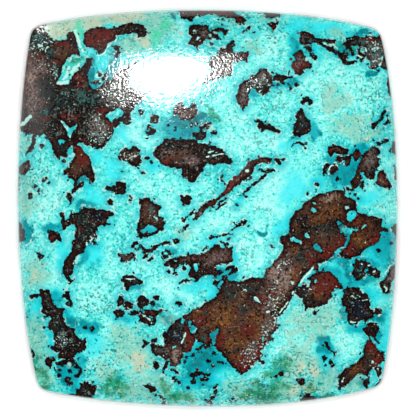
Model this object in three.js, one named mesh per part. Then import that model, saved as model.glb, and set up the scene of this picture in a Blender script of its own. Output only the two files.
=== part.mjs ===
// A polished shattuckite cabochon: one piece of stone, cut to a cushion outline with
// four bowed sides and small rounded corners, a low dome on top and a flat ground back.
// Millimetres, +Z up. The origin is the middle of the flat back, which the stone rests on.
import * as THREE from "three";

// Driving dimensions.
const THICKNESS = 6.0; // back to the crown of the dome
const WALL_TOP = 1.9; // where the wall gives way to the dome
const WALL_LEAN = 0.14; // how far the wall leans in from its foot to the dome
const BACK_BEVEL = 0.4; // chamfer ground round the back
const SHOULDER = 0.06; // 0 makes the dome meet the wall upright, and more makes it flatter
const CORNER_TRIM = 0.09; // share of a handle's length given up to each corner's rounding

// The cushion outline, hand cut and so not quite symmetric. Each side is a Bezier curve
// between two corners, and its two handles set how full the bow is.
const corner = {
  topLeft: new THREE.Vector2(-14.1, 14.5),
  topRight: new THREE.Vector2(13.85, 14.25),
  bottomRight: new THREE.Vector2(13.95, -14.25),
  bottomLeft: new THREE.Vector2(-13.5, -14.55),
};
const bow = {
  bottom: [new THREE.Vector2(-6.0, -16.2), new THREE.Vector2(6.4, -16.5)],
  top: [new THREE.Vector2(-6.6, 16.3), new THREE.Vector2(6.6, 16.35)],
  left: [new THREE.Vector2(-15.65, -6.2), new THREE.Vector2(-15.55, 6.2)],
  right: [new THREE.Vector2(15.6, -6.4), new THREE.Vector2(15.7, 6.8)],
};

// How finely the solid is faceted.
const FACES_ACROSS = 32; // from side to side, both ways
const WALL_STEPS = 2; // bevel, then wall

// A bowed side, less what the rounding of its two corners takes.
function bowedSide(from, [fromHandle, toHandle], to) {
  const start = from.clone().lerp(fromHandle, CORNER_TRIM);
  const end = to.clone().lerp(toHandle, CORNER_TRIM);
  return new THREE.CubicBezierCurve(start, fromHandle, toHandle, end);
}

const side = {
  bottom: bowedSide(corner.bottomLeft, bow.bottom, corner.bottomRight),
  top: bowedSide(corner.topLeft, bow.top, corner.topRight),
  left: bowedSide(corner.bottomLeft, bow.left, corner.topLeft),
  right: bowedSide(corner.bottomRight, bow.right, corner.topRight),
};

// The middle of the rounding at a corner, between the two sides' ends next to it.
function roundedTip(tip, endA, endB) {
  return new THREE.QuadraticBezierCurve(endA, tip, endB).getPoint(0.5);
}

const tip = {
  bottomLeft: roundedTip(corner.bottomLeft, side.bottom.v0, side.left.v0),
  bottomRight: roundedTip(corner.bottomRight, side.bottom.v3, side.right.v0),
  topLeft: roundedTip(corner.topLeft, side.top.v0, side.left.v3),
  topRight: roundedTip(corner.topRight, side.top.v3, side.right.v3),
};

// One edge of the outline from tip to tip: half a rounding, the bowed side, half a rounding.
function edgeOf(fromTip, fromCorner, bowed, toCorner, toTip) {
  const edge = new THREE.CurvePath();
  const leaving = fromCorner.clone().lerp(bowed.v0, 0.5);
  const arriving = toCorner.clone().lerp(bowed.v3, 0.5);
  edge.add(new THREE.QuadraticBezierCurve(fromTip, leaving, bowed.v0));
  edge.add(bowed);
  edge.add(new THREE.QuadraticBezierCurve(bowed.v3, arriving, toTip));
  return edge;
}

const edge = {
  bottom: edgeOf(tip.bottomLeft, corner.bottomLeft, side.bottom, corner.bottomRight, tip.bottomRight),
  top: edgeOf(tip.topLeft, corner.topLeft, side.top, corner.topRight, tip.topRight),
  left: edgeOf(tip.bottomLeft, corner.bottomLeft, side.left, corner.topLeft, tip.topLeft),
  right: edgeOf(tip.bottomRight, corner.bottomRight, side.right, corner.topRight, tip.topRight),
};

// The point of the cushion at (u, v), each from -1 to 1: a Coons patch between the four edges.
function cushionPoint(u, v) {
  const a = (u + 1) / 2;
  const b = (v + 1) / 2;
  const point = new THREE.Vector2();
  point.addScaledVector(edge.bottom.getPointAt(a), 1 - b);
  point.addScaledVector(edge.top.getPointAt(a), b);
  point.addScaledVector(edge.left.getPointAt(b), 1 - a);
  point.addScaledVector(edge.right.getPointAt(b), a);
  point.addScaledVector(tip.bottomLeft, -(1 - a) * (1 - b));
  point.addScaledVector(tip.bottomRight, -a * (1 - b));
  point.addScaledVector(tip.topLeft, -(1 - a) * b);
  point.addScaledVector(tip.topRight, -a * b);
  return point;
}

// Height of the dome above the wall: level lines are round near the crown and square out
// to the cushion's outline near the wall, with no ridge towards the corners.
function domeHeight(u, v) {
  const fall = (1 - u * u) * (1 - v * v);
  const rim = Math.sqrt(SHOULDER);
  const rise = (Math.sqrt(SHOULDER + (1 - SHOULDER) * fall) - rim) / (1 - rim);
  return (THICKNESS - WALL_TOP) * rise;
}

// A box of unit half width, with its faces closer together towards the sides, is pulled
// to the cushion: its top to the dome, its sides to the bevel and the wall, its foot flat.
function stoneGeometry() {
  const box = new THREE.BoxGeometry(2, 2, WALL_STEPS, FACES_ACROSS, FACES_ACROSS, WALL_STEPS);
  const halfWidth = edge.right.getPointAt(0.5).x;
  const insets = [BACK_BEVEL, 0, WALL_LEAN];
  const heights = [0, BACK_BEVEL, WALL_TOP];
  const position = box.getAttribute("position");
  for (let i = 0; i < position.count; i++) {
    const u = Math.sin((position.getX(i) * Math.PI) / 2);
    const v = Math.sin((position.getY(i) * Math.PI) / 2);
    const level = Math.round(position.getZ(i) + WALL_STEPS / 2);
    const point = cushionPoint(u, v).multiplyScalar(1 - insets[level] / halfWidth);
    const rise = level === WALL_STEPS ? domeHeight(u, v) : 0;
    position.setXYZ(i, point.x, point.y, heights[level] + rise);
  }
  box.deleteAttribute("normal");
  box.deleteAttribute("uv");
  return box;
}

const polishedStone = new THREE.MeshStandardMaterial({
  color: 0x46d3cf,
  roughness: 0.15,
  metalness: 0,
});

const cabochon = new THREE.Mesh(stoneGeometry(), polishedStone);
cabochon.name = "shattuckite_cabochon";

const group = new THREE.Group();
group.add(cabochon);

export default group;
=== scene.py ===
"""Polished shattuckite: one cushion-shaped slab with a low dome, ground flat on its back.

The CAD solid gives the shape. This scene gives the stone its polish and its pattern: turquoise
shattuckite and chrysocolla grown round dark pieces of iron and copper matrix.
Lengths are in millimetres until a mesh, a light or the camera is given its place in metres.
"""
import math

import bmesh
import bpy
import numpy as np
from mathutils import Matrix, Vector


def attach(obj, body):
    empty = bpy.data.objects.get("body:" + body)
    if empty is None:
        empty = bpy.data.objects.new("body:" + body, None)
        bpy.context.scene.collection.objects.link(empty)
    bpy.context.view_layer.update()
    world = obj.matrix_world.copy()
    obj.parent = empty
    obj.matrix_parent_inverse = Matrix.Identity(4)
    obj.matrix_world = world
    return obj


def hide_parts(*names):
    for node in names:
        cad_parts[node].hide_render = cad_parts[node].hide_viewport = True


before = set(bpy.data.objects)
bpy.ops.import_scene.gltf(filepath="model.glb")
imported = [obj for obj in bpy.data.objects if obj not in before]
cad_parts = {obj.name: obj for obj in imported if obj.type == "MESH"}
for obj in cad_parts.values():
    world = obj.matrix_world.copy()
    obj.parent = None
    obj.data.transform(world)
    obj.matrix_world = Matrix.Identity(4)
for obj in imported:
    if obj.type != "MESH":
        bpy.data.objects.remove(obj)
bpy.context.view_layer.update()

MM = 0.001

# ---- The stone's shape, by the same rules as the CAD solid ----

THICKNESS = 6.0
WALL_TOP = 1.9
SHOULDER = 0.06  # how softly the dome turns down at its rim; at nil it would meet the wall upright
CORNER_TRIM = 0.09  # how far a side draws back from its corners, in shares of the way to its handles
# The corners that the sides aim at, and each side's handles from corner to corner.
CORNERS = {
    "top left": (-14.1, 14.5), "top right": (13.85, 14.25),
    "bottom right": (13.95, -14.25), "bottom left": (-13.5, -14.55)}
BOWS = {
    "bottom": ("bottom left", (-6.0, -16.2), (6.4, -16.5), "bottom right"),
    "top": ("top left", (-6.6, 16.3), (6.6, 16.35), "top right"),
    "left": ("bottom left", (-15.65, -6.2), (-15.55, 6.2), "top left"),
    "right": ("bottom right", (15.6, -6.4), (15.7, 6.8), "top right")}

FACES_ACROSS = 280  # about 0.11 mm each, so that a 0.1 mm strand of matrix still has a point on it
BACK_FACES_ACROSS = 70
# The wall from the dome's foot down to the flat back, as (inset, height). The two arrises are
# broken by a hair, as a lap leaves them.
WALL_ROWS = [
    (0.14, 1.9), (0.127, 1.86), (0.117, 1.8), (0.10, 1.62), (0.065, 1.2), (0.03, 0.8), (0.008, 0.5),
    (0.012, 0.41), (0.06, 0.33), (0.2, 0.19), (0.35, 0.045), (0.42, 0.0)]
BACK_INSET = 0.8  # how far inside the outline the coarser grid of the back begins

CURVE_STEPS = 400  # steps along each curve when its length is measured


def blend(a, b, share):
    return a + (b - a) * share


def bezier(handles, share):
    """The points at each share of a Bezier curve with any number of handles."""
    points = [np.asarray(handle, float)[None, :] for handle in handles]
    while len(points) > 1:
        points = [blend(a, b, share[:, None]) for a, b in zip(points, points[1:])]
    return points[0]


def trimmed(side):
    """A side's four handles, with its ends drawn back from the two corners."""
    start, near, far, end = BOWS[side]
    start, end = np.array(CORNERS[start]), np.array(CORNERS[end])
    near, far = np.array(near), np.array(far)
    return [blend(start, near, CORNER_TRIM), near, far, blend(end, far, CORNER_TRIM)]


def corner_tip(corner):
    """The point half way round a corner's small curve."""
    ends = [
        trimmed(side)[0 if BOWS[side][0] == corner else -1] for side in BOWS if corner in BOWS[side]]
    return bezier([ends[0], CORNERS[corner], ends[1]], np.array([0.5]))[0]


def edge_points(side, share):
    """The points at each share of the way along a side, from corner tip to corner tip."""
    first, _, _, last = BOWS[side]
    handles = trimmed(side)
    corner_a, corner_b = np.array(CORNERS[first]), np.array(CORNERS[last])
    steps = np.linspace(0, 1, CURVE_STEPS)
    path = np.concatenate([
        bezier([corner_tip(first), blend(corner_a, handles[0], 0.5), handles[0]], steps),
        bezier(handles, steps),
        bezier([handles[3], blend(corner_b, handles[3], 0.5), corner_tip(last)], steps)])
    along = np.concatenate([[0], np.cumsum(np.hypot(*np.diff(path, axis=0).T))])
    return np.stack([np.interp(share * along[-1], along, path[:, axis]) for axis in (0, 1)], axis=1)


HALF_WIDTH = edge_points("right", np.array([0.5]))[0, 0]


def cushion_points(u, v):
    """The plan of the stone: u and v from -1 to 1 across it, stretched to its four bowed sides."""
    a, b = (u + 1) / 2, (v + 1) / 2
    wide, high = a[:, None], b[:, None]
    between_sides = (
        blend(edge_points("bottom", a), edge_points("top", a), high)
        + blend(edge_points("left", b), edge_points("right", b), wide))
    tips = blend(
        blend(corner_tip("bottom left"), corner_tip("bottom right"), wide),
        blend(corner_tip("top left"), corner_tip("top right"), wide), high)
    return between_sides - tips


def dome_height(u, v):
    """The rise of the dome above its foot: steep at the shoulder and nearly flat in the middle."""
    fall = (1 - u * u) * (1 - v * v)
    rim = math.sqrt(SHOULDER)
    return (THICKNESS - WALL_TOP) * (np.sqrt(SHOULDER + (1 - SHOULDER) * fall) - rim) / (1 - rim)


def stone_mesh():
    """The closed shell: a fine grid for the dome, its rim drawn down the wall, a coarser grid behind.

    Each point's x and y say where it lies across the stone, from -1 to 1, and its z which row it is on.
    """
    shell = bmesh.new()
    bmesh.ops.create_grid(shell, x_segments=FACES_ACROSS, y_segments=FACES_ACROSS, size=1)
    for _ in WALL_ROWS[1:]:
        rim = [edge for edge in shell.edges if edge.is_boundary]
        bmesh.ops.extrude_edge_only(shell, edges=rim)
        foot = {vert for edge in shell.edges if edge.is_boundary for vert in edge.verts}
        bmesh.ops.translate(shell, verts=list(foot), vec=(0, 0, -1))
    back = bmesh.ops.create_grid(
        shell, x_segments=BACK_FACES_ACROSS, y_segments=BACK_FACES_ACROSS, size=1)
    bmesh.ops.translate(shell, verts=back["verts"], vec=(0, 0, -len(WALL_ROWS)))
    bmesh.ops.bridge_loops(shell, edges=[edge for edge in shell.edges if edge.is_boundary])
    bmesh.ops.recalc_face_normals(shell, faces=shell.faces)
    mesh = bpy.data.meshes.new("polished_stone")
    shell.to_mesh(mesh)
    shell.free()
    return mesh


# ---- The pattern ----

# Dark matrix on the polished face, in millimetres from the middle of the stone: x to the right, y up.
# Each patch is the outline that it was drawn with. One that reaches the edge runs past it.
MATRIX_PATCHES = {
    "corner mass": [
        (-16.5, 15.5), (-12.3, 15.5), (-12.3, 14.95), (-12.7, 14.7), (-13.05, 14.45), (-12.95, 14.1),
        (-12.6, 13.7), (-12.2, 13.35), (-11.9, 13.4), (-11.5, 13.35), (-11.25, 13.4), (-11.15, 13.85),
        (-10.95, 14.05), (-10.5, 14), (-10.4, 13.5), (-10.3, 12.9), (-10.15, 12.4), (-10.2, 12.1),
        (-10.6, 12.25), (-11, 12.05), (-11.3, 11.7), (-11.5, 11.3), (-11.6, 10.8), (-11.65, 10.4),
        (-11.9, 10.1), (-11.75, 9.85), (-11.35, 9.8), (-11, 9.95), (-10.85, 10.3), (-10.5, 10.75),
        (-10.05, 11.05), (-9.85, 11.4), (-9.65, 11.75), (-9.35, 12), (-9.1, 11.95), (-9.15, 11.5),
        (-9.35, 11.1), (-9.5, 10.6), (-9.45, 10.1), (-9.3, 9.7), (-9, 9.45), (-8.75, 9.45), (-8.5, 9.7),
        (-8.25, 10), (-7.85, 10.1), (-7.55, 10.2), (-7.4, 10.6), (-7.15, 10.95), (-6.6, 11.2),
        (-6.1, 11.42), (-5.7, 11.6), (-5.3, 11.5), (-5.55, 11.3), (-5.95, 11.1), (-6.2, 10.9),
        (-6.2, 10.3), (-6.2, 9.7), (-5.8, 9.35), (-5.3, 9.15), (-4.9, 8.95), (-5.1, 8.65), (-5.35, 8.35),
        (-5.7, 8.15), (-5.9, 7.9), (-6.1, 7.5), (-6.15, 7.1), (-6.25, 6.65), (-6.5, 6.6), (-6.75, 6.85),
        (-7, 6.6), (-7.35, 6.45), (-7.4, 6.1), (-7.5, 5.7), (-7.75, 5.4), (-8.05, 5.05), (-8.3, 4.8),
        (-8.7, 4.7), (-9.2, 4.85), (-9.7, 5.1), (-10.1, 5.2), (-10.5, 5), (-10.8, 5), (-11.05, 4.6),
        (-11.1, 4.1), (-11.35, 4), (-11.6, 4.15), (-11.9, 3.95), (-12.15, 4.1), (-12.25, 4.7),
        (-12.4, 5.2), (-12.7, 5.45), (-12.9, 5.9), (-13.15, 5.8), (-13.4, 5.75), (-13.6, 5.9),
        (-13.65, 5.4), (-13.8, 4.8), (-14.1, 4.4), (-14.4, 4.35), (-14.25, 4.8), (-13.95, 5.3),
        (-13.9, 5.85), (-14.2, 5.95), (-14.5, 5.9), (-14.8, 6.1), (-15.05, 6.5), (-16.5, 6.6)],
    "heart": [
        (-9.85, 13.7), (-9.7, 14.1), (-9.4, 14.35), (-9, 14.42), (-8.5, 14.45), (-8, 14.35),
        (-7.6, 14.3), (-7.1, 14.4), (-6.7, 14.65), (-6.2, 14.75), (-5.6, 14.72), (-5.25, 14.6),
        (-5, 14.4), (-4.8, 14.1), (-4.85, 13.75), (-5.05, 13.5), (-5.4, 13.6), (-5.6, 13.85),
        (-6.2, 13.9), (-6.8, 13.85), (-7.2, 13.75), (-7.4, 13.4), (-7.7, 13.2), (-8, 13.15), (-8, 12.8),
        (-8.2, 12.45), (-8.5, 12.25), (-8.8, 12.45), (-9.1, 12.75), (-9.6, 12.85), (-9.85, 13.2)],
    "top band": [
        (-2.5, 16.6), (-2.36, 15.83), (-2.2, 15.55), (-2.1, 15.13), (-1.87, 15), (-1.57, 15.04),
        (-1.33, 14.86), (-1.15, 14.98), (-1.03, 15.2), (-0.73, 15.38), (-0.25, 15.38), (0.1, 15.42),
        (0.48, 15.4), (0.9, 15.38), (1.08, 15.22), (1.68, 15.18), (2.1, 15.1), (2.3, 14.77),
        (2.58, 14.6), (2.95, 14.65), (3.1, 14.95), (2.95, 15.25), (2.58, 15.3), (2.3, 15.45),
        (2.15, 15.7), (2.1, 16.6)],
    "upper block": [
        (-1.45, 14), (-1.4, 14.4), (-1.2, 14.65), (-0.9, 14.72), (-0.55, 14.62), (-0.13, 14.6),
        (0.1, 14.47), (0.23, 14.1), (0.1, 13.75), (0.36, 13.45), (-0.15, 13.45), (-0.38, 13.14),
        (-0.62, 12.94), (-0.9, 12.74), (-1.15, 12.92), (-1.6, 13.02), (-1.42, 13.33), (-1.2, 13.57),
        (-1.45, 13.8)],
    "upper lens": [
        (0.42, 14.17), (0.72, 14.32), (1.26, 14.37), (1.62, 14.17), (1.53, 13.75), (1.32, 13.83),
        (1.14, 14.02), (0.84, 13.97)],
    "edge notch": [
        (4.1, 16.2), (4.2, 15.75), (4.57, 15.5), (4.7, 15.2), (5, 15.1), (5.35, 15.15), (5.7, 15.25),
        (6, 15.6), (6.2, 16.2)],
    "red tip": [
        (4.72, 14.65), (5.17, 14.77), (5.65, 14.85), (5.55, 14.5), (5.36, 14.15), (5.1, 14.3),
        (4.95, 14.5)],
    "gleam cluster": [
        (0.84, 12.54), (1.14, 12.72), (1.5, 12.66), (1.72, 13.14), (1.86, 13.38), (2.18, 13.24),
        (2.26, 12.9), (1.98, 12.75), (2.1, 12.42), (2.52, 12.3), (2.89, 12.45), (3.19, 12.42),
        (3.4, 12.18), (3.1, 11.8), (2.7, 11.73), (2.4, 11.56), (2.1, 11.66), (1.98, 11.4), (2.02, 10.86),
        (1.88, 10.48), (1.44, 10.4), (0.96, 10.4), (0.4, 10.08), (-0.1, 10.05), (0, 10.43),
        (0.42, 10.86), (0.1, 11.58), (0.3, 12.06), (0.72, 12.12)],
    "s patch": [
        (3.43, 10.52), (3.7, 10.52), (3.85, 10.62), (4.2, 10.92), (4.5, 11.08), (4.8, 10.92),
        (5.05, 10.58), (5.22, 10.2), (5.32, 9.72), (4.95, 9.45), (4.78, 9.08), (4.5, 8.93), (4.2, 9.14),
        (3.85, 9.32), (3.68, 9.65), (3.43, 9.38), (3.33, 8.93), (3.24, 8.3), (3.02, 7.86), (2.8, 7.82),
        (2.58, 8.18), (2.26, 8.6), (2.24, 8.95), (2.48, 9.32), (2.56, 9.8), (2.88, 10.1), (3.3, 10.2)],
    "bead": [
        (7.68, 12.78), (8, 12.88), (8.27, 12.77), (8.42, 12.54), (8.2, 12.37), (7.93, 12.58)],
    "small arch": [
        (7.4, 8.25), (7.47, 8.62), (7.75, 8.85), (8.1, 8.82), (8.42, 8.6), (8.38, 8.3), (8.1, 8.1),
        (7.98, 8.36), (7.75, 8.38), (7.62, 8.15)],
    "hanging drop": [
        (7.05, 7.6), (7.27, 7.76), (7.46, 7.94), (7.62, 7.82), (7.76, 7.45), (7.94, 7.2), (8.14, 6.97),
        (8.26, 6.4), (8.3, 6.1), (7.9, 5.93), (7.53, 5.73), (7.3, 5.58), (6.95, 5.68), (6.82, 6),
        (6.92, 6.4), (6.8, 6.6), (7.05, 6.75), (7.04, 7.16)],
    "left spur": [
        (-15.05, 3.3), (-14.7, 3.55), (-14.35, 3.88), (-14.12, 3.78), (-14.12, 3.1), (-14.38, 2.87),
        (-14.5, 2.62), (-14.85, 2.57)],
    "left edge strip": [
        (-16, 3.3), (-15, 3.2), (-14.98, 2.4), (-15.05, 1.5), (-16, 1.4)],
    "brown spur": [
        (-10.6, 5.1), (-10, 4.9), (-9.7, 4.4), (-9.4, 4.05), (-9.17, 3.6), (-9.1, 3.15), (-9.2, 3),
        (-8.97, 2.75), (-8.92, 2.4), (-9.15, 1.95), (-9.42, 1.87), (-9.4, 2.3), (-9.62, 2.6),
        (-9.95, 2.5), (-10.3, 2.15), (-10.5, 1.95), (-10.72, 2.2), (-10.95, 2.4), (-11.15, 2.6),
        (-11.42, 2.68), (-11.47, 2.9), (-11.2, 3.07), (-10.98, 3.25), (-10.88, 3.5), (-10.6, 3.85),
        (-10.5, 4.2), (-10.65, 4.6)],
    "diamond": [
        (-4.38, 4.35), (-4.12, 4.58), (-3.92, 4.92), (-3.62, 5.18), (-3.47, 5.43), (-3.2, 5.58),
        (-2.9, 5.53), (-2.6, 5.48), (-2.3, 5.37), (-1.9, 5.42), (-1.5, 5.53), (-1.1, 5.42), (-0.7, 5.22),
        (-0.2, 5.02), (0.6, 4.93), (1.12, 4.63), (1.42, 4.37), (1.74, 4.07), (1.98, 3.77), (2.14, 3.55),
        (1.9, 3.42), (1.6, 3.47), (1.3, 3.57), (0.9, 3.52), (0.6, 3.36), (0.3, 3.47), (-0.1, 3.47),
        (-0.27, 3.25), (-0.12, 3.05), (-0.28, 2.87), (-0.57, 2.72), (-0.82, 2.37), (-0.98, 2.07),
        (-1.25, 2.02), (-1.52, 2.17), (-1.73, 2.38), (-1.98, 2.58), (-2.03, 2.95), (-2.03, 3.12),
        (-2.4, 3.12), (-2.7, 3.27), (-3, 3.22), (-3.33, 3.37), (-3.63, 3.47), (-3.88, 3.78),
        (-4.18, 4.03)],
    "fish": [
        (-7.98, 1.72), (-7.6, 1.73), (-7.3, 1.8), (-7.22, 2.05), (-7, 2.18), (-6.75, 2.08),
        (-6.48, 2.02), (-6.42, 1.6), (-6.48, 1.18), (-6.75, 0.97), (-7.1, 1.07), (-7.4, 1.27),
        (-7.85, 1.3), (-8.1, 1.48)],
    "star": [
        (-2.1, 1.03), (-1.8, 0.93), (-1.6, 1.03), (-1.32, 0.93), (-1.38, 0.6), (-1.27, 0.4),
        (-1.6, 0.27), (-1.8, 0.12), (-2.03, 0.17), (-1.98, 0.5), (-2.13, 0.7)],
    "window frame": [
        (-5.45, 0.88), (-5.2, 0.75), (-4.9, 0.8), (-4.6, 0.8), (-4.43, 0.53), (-4.1, 0.43),
        (-3.72, 0.23), (-3.6, 0), (-3.85, -0.2), (-3.87, -0.55), (-3.62, -0.78), (-3.42, -0.75),
        (-3.47, -1), (-3.3, -1.22), (-3.4, -1.45), (-3.55, -1.75), (-3.8, -1.78), (-3.98, -1.97),
        (-4.2, -2.15), (-4.6, -2.25), (-5, -2.33), (-5.3, -2.48), (-5.43, -2.12), (-5.6, -1.82),
        (-5.55, -1.2), (-5.33, -0.9), (-5.38, -0.5), (-5.28, -0.1), (-5.35, 0.3)],
    "leaf vein": [
        (-1.2, -1.05), (-0.95, -0.55), (-0.55, 0.05), (-0.2, 0.4), (0.2, 0.55), (0.6, 0.65),
        (0.95, 0.98), (1.3, 1.35), (1.5, 1.72), (1.78, 2.1), (2.2, 2.45), (2.6, 2.85), (3, 3.28),
        (3.3, 3.62), (3.7, 3.83), (4.2, 3.93), (4.85, 4.02), (5.2, 3.98), (5.2, 3.68), (4.9, 3.48),
        (4.6, 3.52), (4.1, 3.52), (3.8, 3.38), (3.62, 3.1), (3.75, 2.85), (3.4, 2.6), (3.1, 2.3),
        (2.7, 2.05), (2.3, 1.72), (1.93, 1.42), (1.72, 1.17), (1.42, 0.96), (1, 0.7), (0.65, 0.33),
        (0.45, 0.1), (0, 0.02), (-0.3, -0.3), (-0.55, -0.65), (-0.85, -0.95)],
    "boot": [
        (-9.92, 0.02), (-10.28, -0.28), (-10.76, -0.49), (-10.97, -0.52), (-11, -0.83), (-11.25, -0.9),
        (-11.4, -0.35), (-11.6, -0.3), (-11.78, -0.5), (-11.6, -0.75), (-11.45, -1), (-11.5, -1.3),
        (-11.45, -1.5), (-11.7, -1.75), (-11.9, -1.9), (-11.5, -1.8), (-11.15, -1.5), (-10.9, -1.35),
        (-10.5, -1.3), (-10.42, -1.8), (-10.42, -2.1), (-10.58, -2.4), (-10.73, -2.75), (-10.79, -3.23),
        (-10.94, -3.66), (-11.24, -4), (-11.39, -4.3), (-11.45, -4.68), (-11.54, -5.04), (-11.45, -5.3),
        (-11.24, -5.58), (-11, -5.77), (-10.9, -6.04), (-10.76, -5.86), (-10.49, -5.77), (-10.55, -5.58),
        (-10.82, -5.64), (-10.85, -5.43), (-10.7, -5.16), (-10.6, -4.9), (-10.67, -4.62),
        (-10.46, -4.38), (-10.58, -4.2), (-10.46, -3.9), (-10.1, -3.72), (-9.86, -3.72), (-9.67, -3.54),
        (-9.73, -3.23), (-9.6, -2.93), (-9.5, -2.75), (-9.2, -2.7), (-9, -2.87), (-8.74, -2.93),
        (-8.77, -2.7), (-8.9, -2.57), (-8.83, -2.33), (-8.77, -1.9), (-8.68, -1.55), (-8.47, -1.37),
        (-8.17, -1.43), (-7.69, -1.43), (-7.62, -1.25), (-7.93, -1.13), (-7.87, -0.7), (-7.6, -0.62),
        (-7.36, -0.62), (-7.35, -0.4), (-7.6, -0.32), (-7.93, -0.2), (-8.35, -0.1), (-9.07, -0.04),
        (-9.6, 0.05)],
    "left splinter": [
        (-12.78, -1.8), (-12.55, -1.75), (-12.2, -1.8), (-12, -1.95), (-11.78, -2), (-11.65, -2.35),
        (-11.55, -2.65), (-11.8, -2.62), (-11.95, -2.42), (-12.1, -2.62), (-12.4, -2.72), (-12.62, -2.5),
        (-12.62, -2.15)],
    "left edge lens": [
        (-16, -0.75), (-15.1, -0.85), (-14.9, -1.1), (-14.75, -1.5), (-14.55, -1.9), (-14.45, -2.2),
        (-14.57, -2.58), (-14.9, -2.65), (-16, -2.6)],
    "boomerang chip": [
        (-13.6, -3.45), (-13.4, -3.42), (-13.28, -3.65), (-13.05, -3.65), (-12.92, -3.82),
        (-13.1, -3.98), (-13.3, -4.18), (-13.45, -4), (-13.5, -3.75)],
    "low left mass": [
        (-13.38, -6.67), (-13.4, -6.5), (-13.2, -6.45), (-13, -6.65), (-12.85, -6.5), (-12.65, -6.5),
        (-12.5, -6.75), (-12.3, -7.2), (-12.14, -7.57), (-11.78, -7.98), (-11.36, -7.98),
        (-11.34, -8.25), (-11.48, -8.5), (-11.45, -8.95), (-11.24, -9.25), (-10.88, -9.5),
        (-10.56, -9.6), (-10.58, -9.85), (-10.46, -10.1), (-10.2, -10.4), (-9.98, -10.45),
        (-9.58, -10.63), (-9.65, -10.93), (-9.6, -11.1), (-9.9, -11.4), (-10.2, -11.6), (-10.5, -11.78),
        (-10.8, -11.86), (-10.6, -12.05), (-10.5, -12.35), (-10.75, -12.4), (-11, -12.1), (-11.2, -12.2),
        (-11.3, -12.32), (-11.78, -12.5), (-11.9, -12.35), (-11.42, -12.1), (-11.3, -12),
        (-11.7, -11.96), (-11.9, -11.84), (-11.78, -11.5), (-12.14, -11.36), (-12.52, -11.1),
        (-12.14, -10.93), (-12.14, -10.6), (-12.3, -10.15), (-12.27, -9.85), (-12.5, -9.67),
        (-12.7, -9.52), (-13.05, -9.56), (-13.05, -9.44), (-12.6, -9.43), (-12.63, -9.07),
        (-12.47, -8.95), (-12.45, -8.55), (-12.7, -8.62), (-12.87, -8.82), (-13.1, -8.7), (-12.85, -8.5),
        (-13.1, -8.34), (-13.14, -8.1), (-13.1, -7.9), (-13.23, -7.45), (-13.32, -6.97)],
    "low left ring": [
        (-13, -12.2), (-12.77, -11.97), (-12.3, -11.87), (-12.02, -11.98), (-12.08, -12.23),
        (-12.38, -12.28), (-12.38, -12.55), (-12.48, -12.73), (-12.82, -12.53)],
    "bottom block": [
        (-10.15, -13.98), (-9.73, -13.87), (-9.37, -14), (-8.85, -14.12), (-8.8, -14.35), (-9, -14.7),
        (-9.1, -15.03), (-9.2, -16.5), (-11.2, -16), (-11.1, -14.8), (-10.5, -14.9), (-10.42, -14.7),
        (-10.5, -14.43), (-10.2, -14.35), (-10.02, -14.2)],
    "left edge shadow": [
        (-16, -8.2), (-14.66, -8.35), (-14.5, -8.7), (-14.45, -9.25), (-14.7, -9.35), (-16, -9.4)],
    "small fan": [
        (-7.03, -3.63), (-6.8, -3.66), (-6.4, -3.72), (-6.1, -3.52), (-5.72, -3.6), (-5.75, -4.02),
        (-6.2, -4.14), (-6.6, -4.35), (-6.9, -4.25), (-6.88, -3.92)],
    "boat": [
        (-6.85, -5.65), (-6.62, -5.37), (-6.3, -5.32), (-5.7, -5.37), (-5.47, -5.55), (-5.3, -5.72),
        (-5.1, -5.8), (-5.17, -6.05), (-5.5, -6.13), (-5.9, -6.13), (-6.17, -6.32), (-6.28, -6.65),
        (-6.48, -6.55), (-6.53, -6.12), (-6.45, -5.95), (-6.83, -5.8)],
    "cluster a": [
        (-7.15, -7.2), (-6.95, -6.98), (-6.68, -7.05), (-6.58, -7.4), (-6.75, -7.78), (-7.1, -7.75),
        (-7.2, -7.45)],
    "cluster b": [
        (-6.55, -7.35), (-6.25, -7.4), (-5.9, -7.62), (-5.88, -8), (-6.4, -8.05), (-6.62, -7.75)],
    "cluster c": [
        (-5.58, -7.05), (-5.1, -6.95), (-4.72, -7.2), (-4.58, -7.52), (-4.8, -7.78), (-5.05, -8),
        (-5.45, -7.97), (-5.58, -7.6)],
    "cluster d": [
        (-4.32, -7.1), (-4, -6.9), (-3.78, -7), (-3.82, -7.38), (-4.14, -7.42)],
    "double ring": [
        (-7.45, -8.28), (-7.25, -8.08), (-6.9, -7.98), (-6.55, -8.12), (-6.5, -8.42), (-6.8, -8.66),
        (-7.15, -8.72), (-7.38, -8.52)],
    "dark lens": [
        (-6.05, -8.15), (-5.6, -8.1), (-5.17, -8.18), (-4.63, -8.55), (-4.25, -8.9), (-4.2, -9.2),
        (-4.45, -9.4), (-4.75, -9.27), (-5.1, -9.15), (-5.42, -8.97), (-5.37, -8.77), (-5.55, -8.5),
        (-5.75, -8.6), (-5.98, -8.45)],
    "red leaf": [
        (-5.05, -8.08), (-4.63, -8.05), (-3.28, -8.08), (-3.66, -8.3), (-3.9, -8.43), (-4.08, -8.6),
        (-4, -8.95), (-4.14, -9.15), (-4.3, -8.8), (-4.63, -8.5), (-5, -8.3)],
    "great mass": [
        (-1.67, -8.4), (-1.43, -8.3), (-1.07, -8.05), (-0.77, -7.93), (-0.35, -7.7), (-0.05, -7.45),
        (0.31, -7.33), (0.55, -7.15), (0.8, -6.85), (0.98, -6.6), (1.08, -6.37), (1.02, -6.13),
        (1.39, -5.83), (1.5, -5.58), (1.75, -5.7), (1.99, -5.77), (2.53, -5.83), (3, -5.7),
        (3.37, -5.58), (3.98, -5.52), (4.46, -5.46), (4.58, -5.04), (4.76, -4.8), (5.06, -4.56),
        (5.3, -4.2), (5.66, -4), (5.84, -3.66), (6.02, -3.3), (6.08, -3), (5.87, -2.75), (5.78, -2.4),
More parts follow.
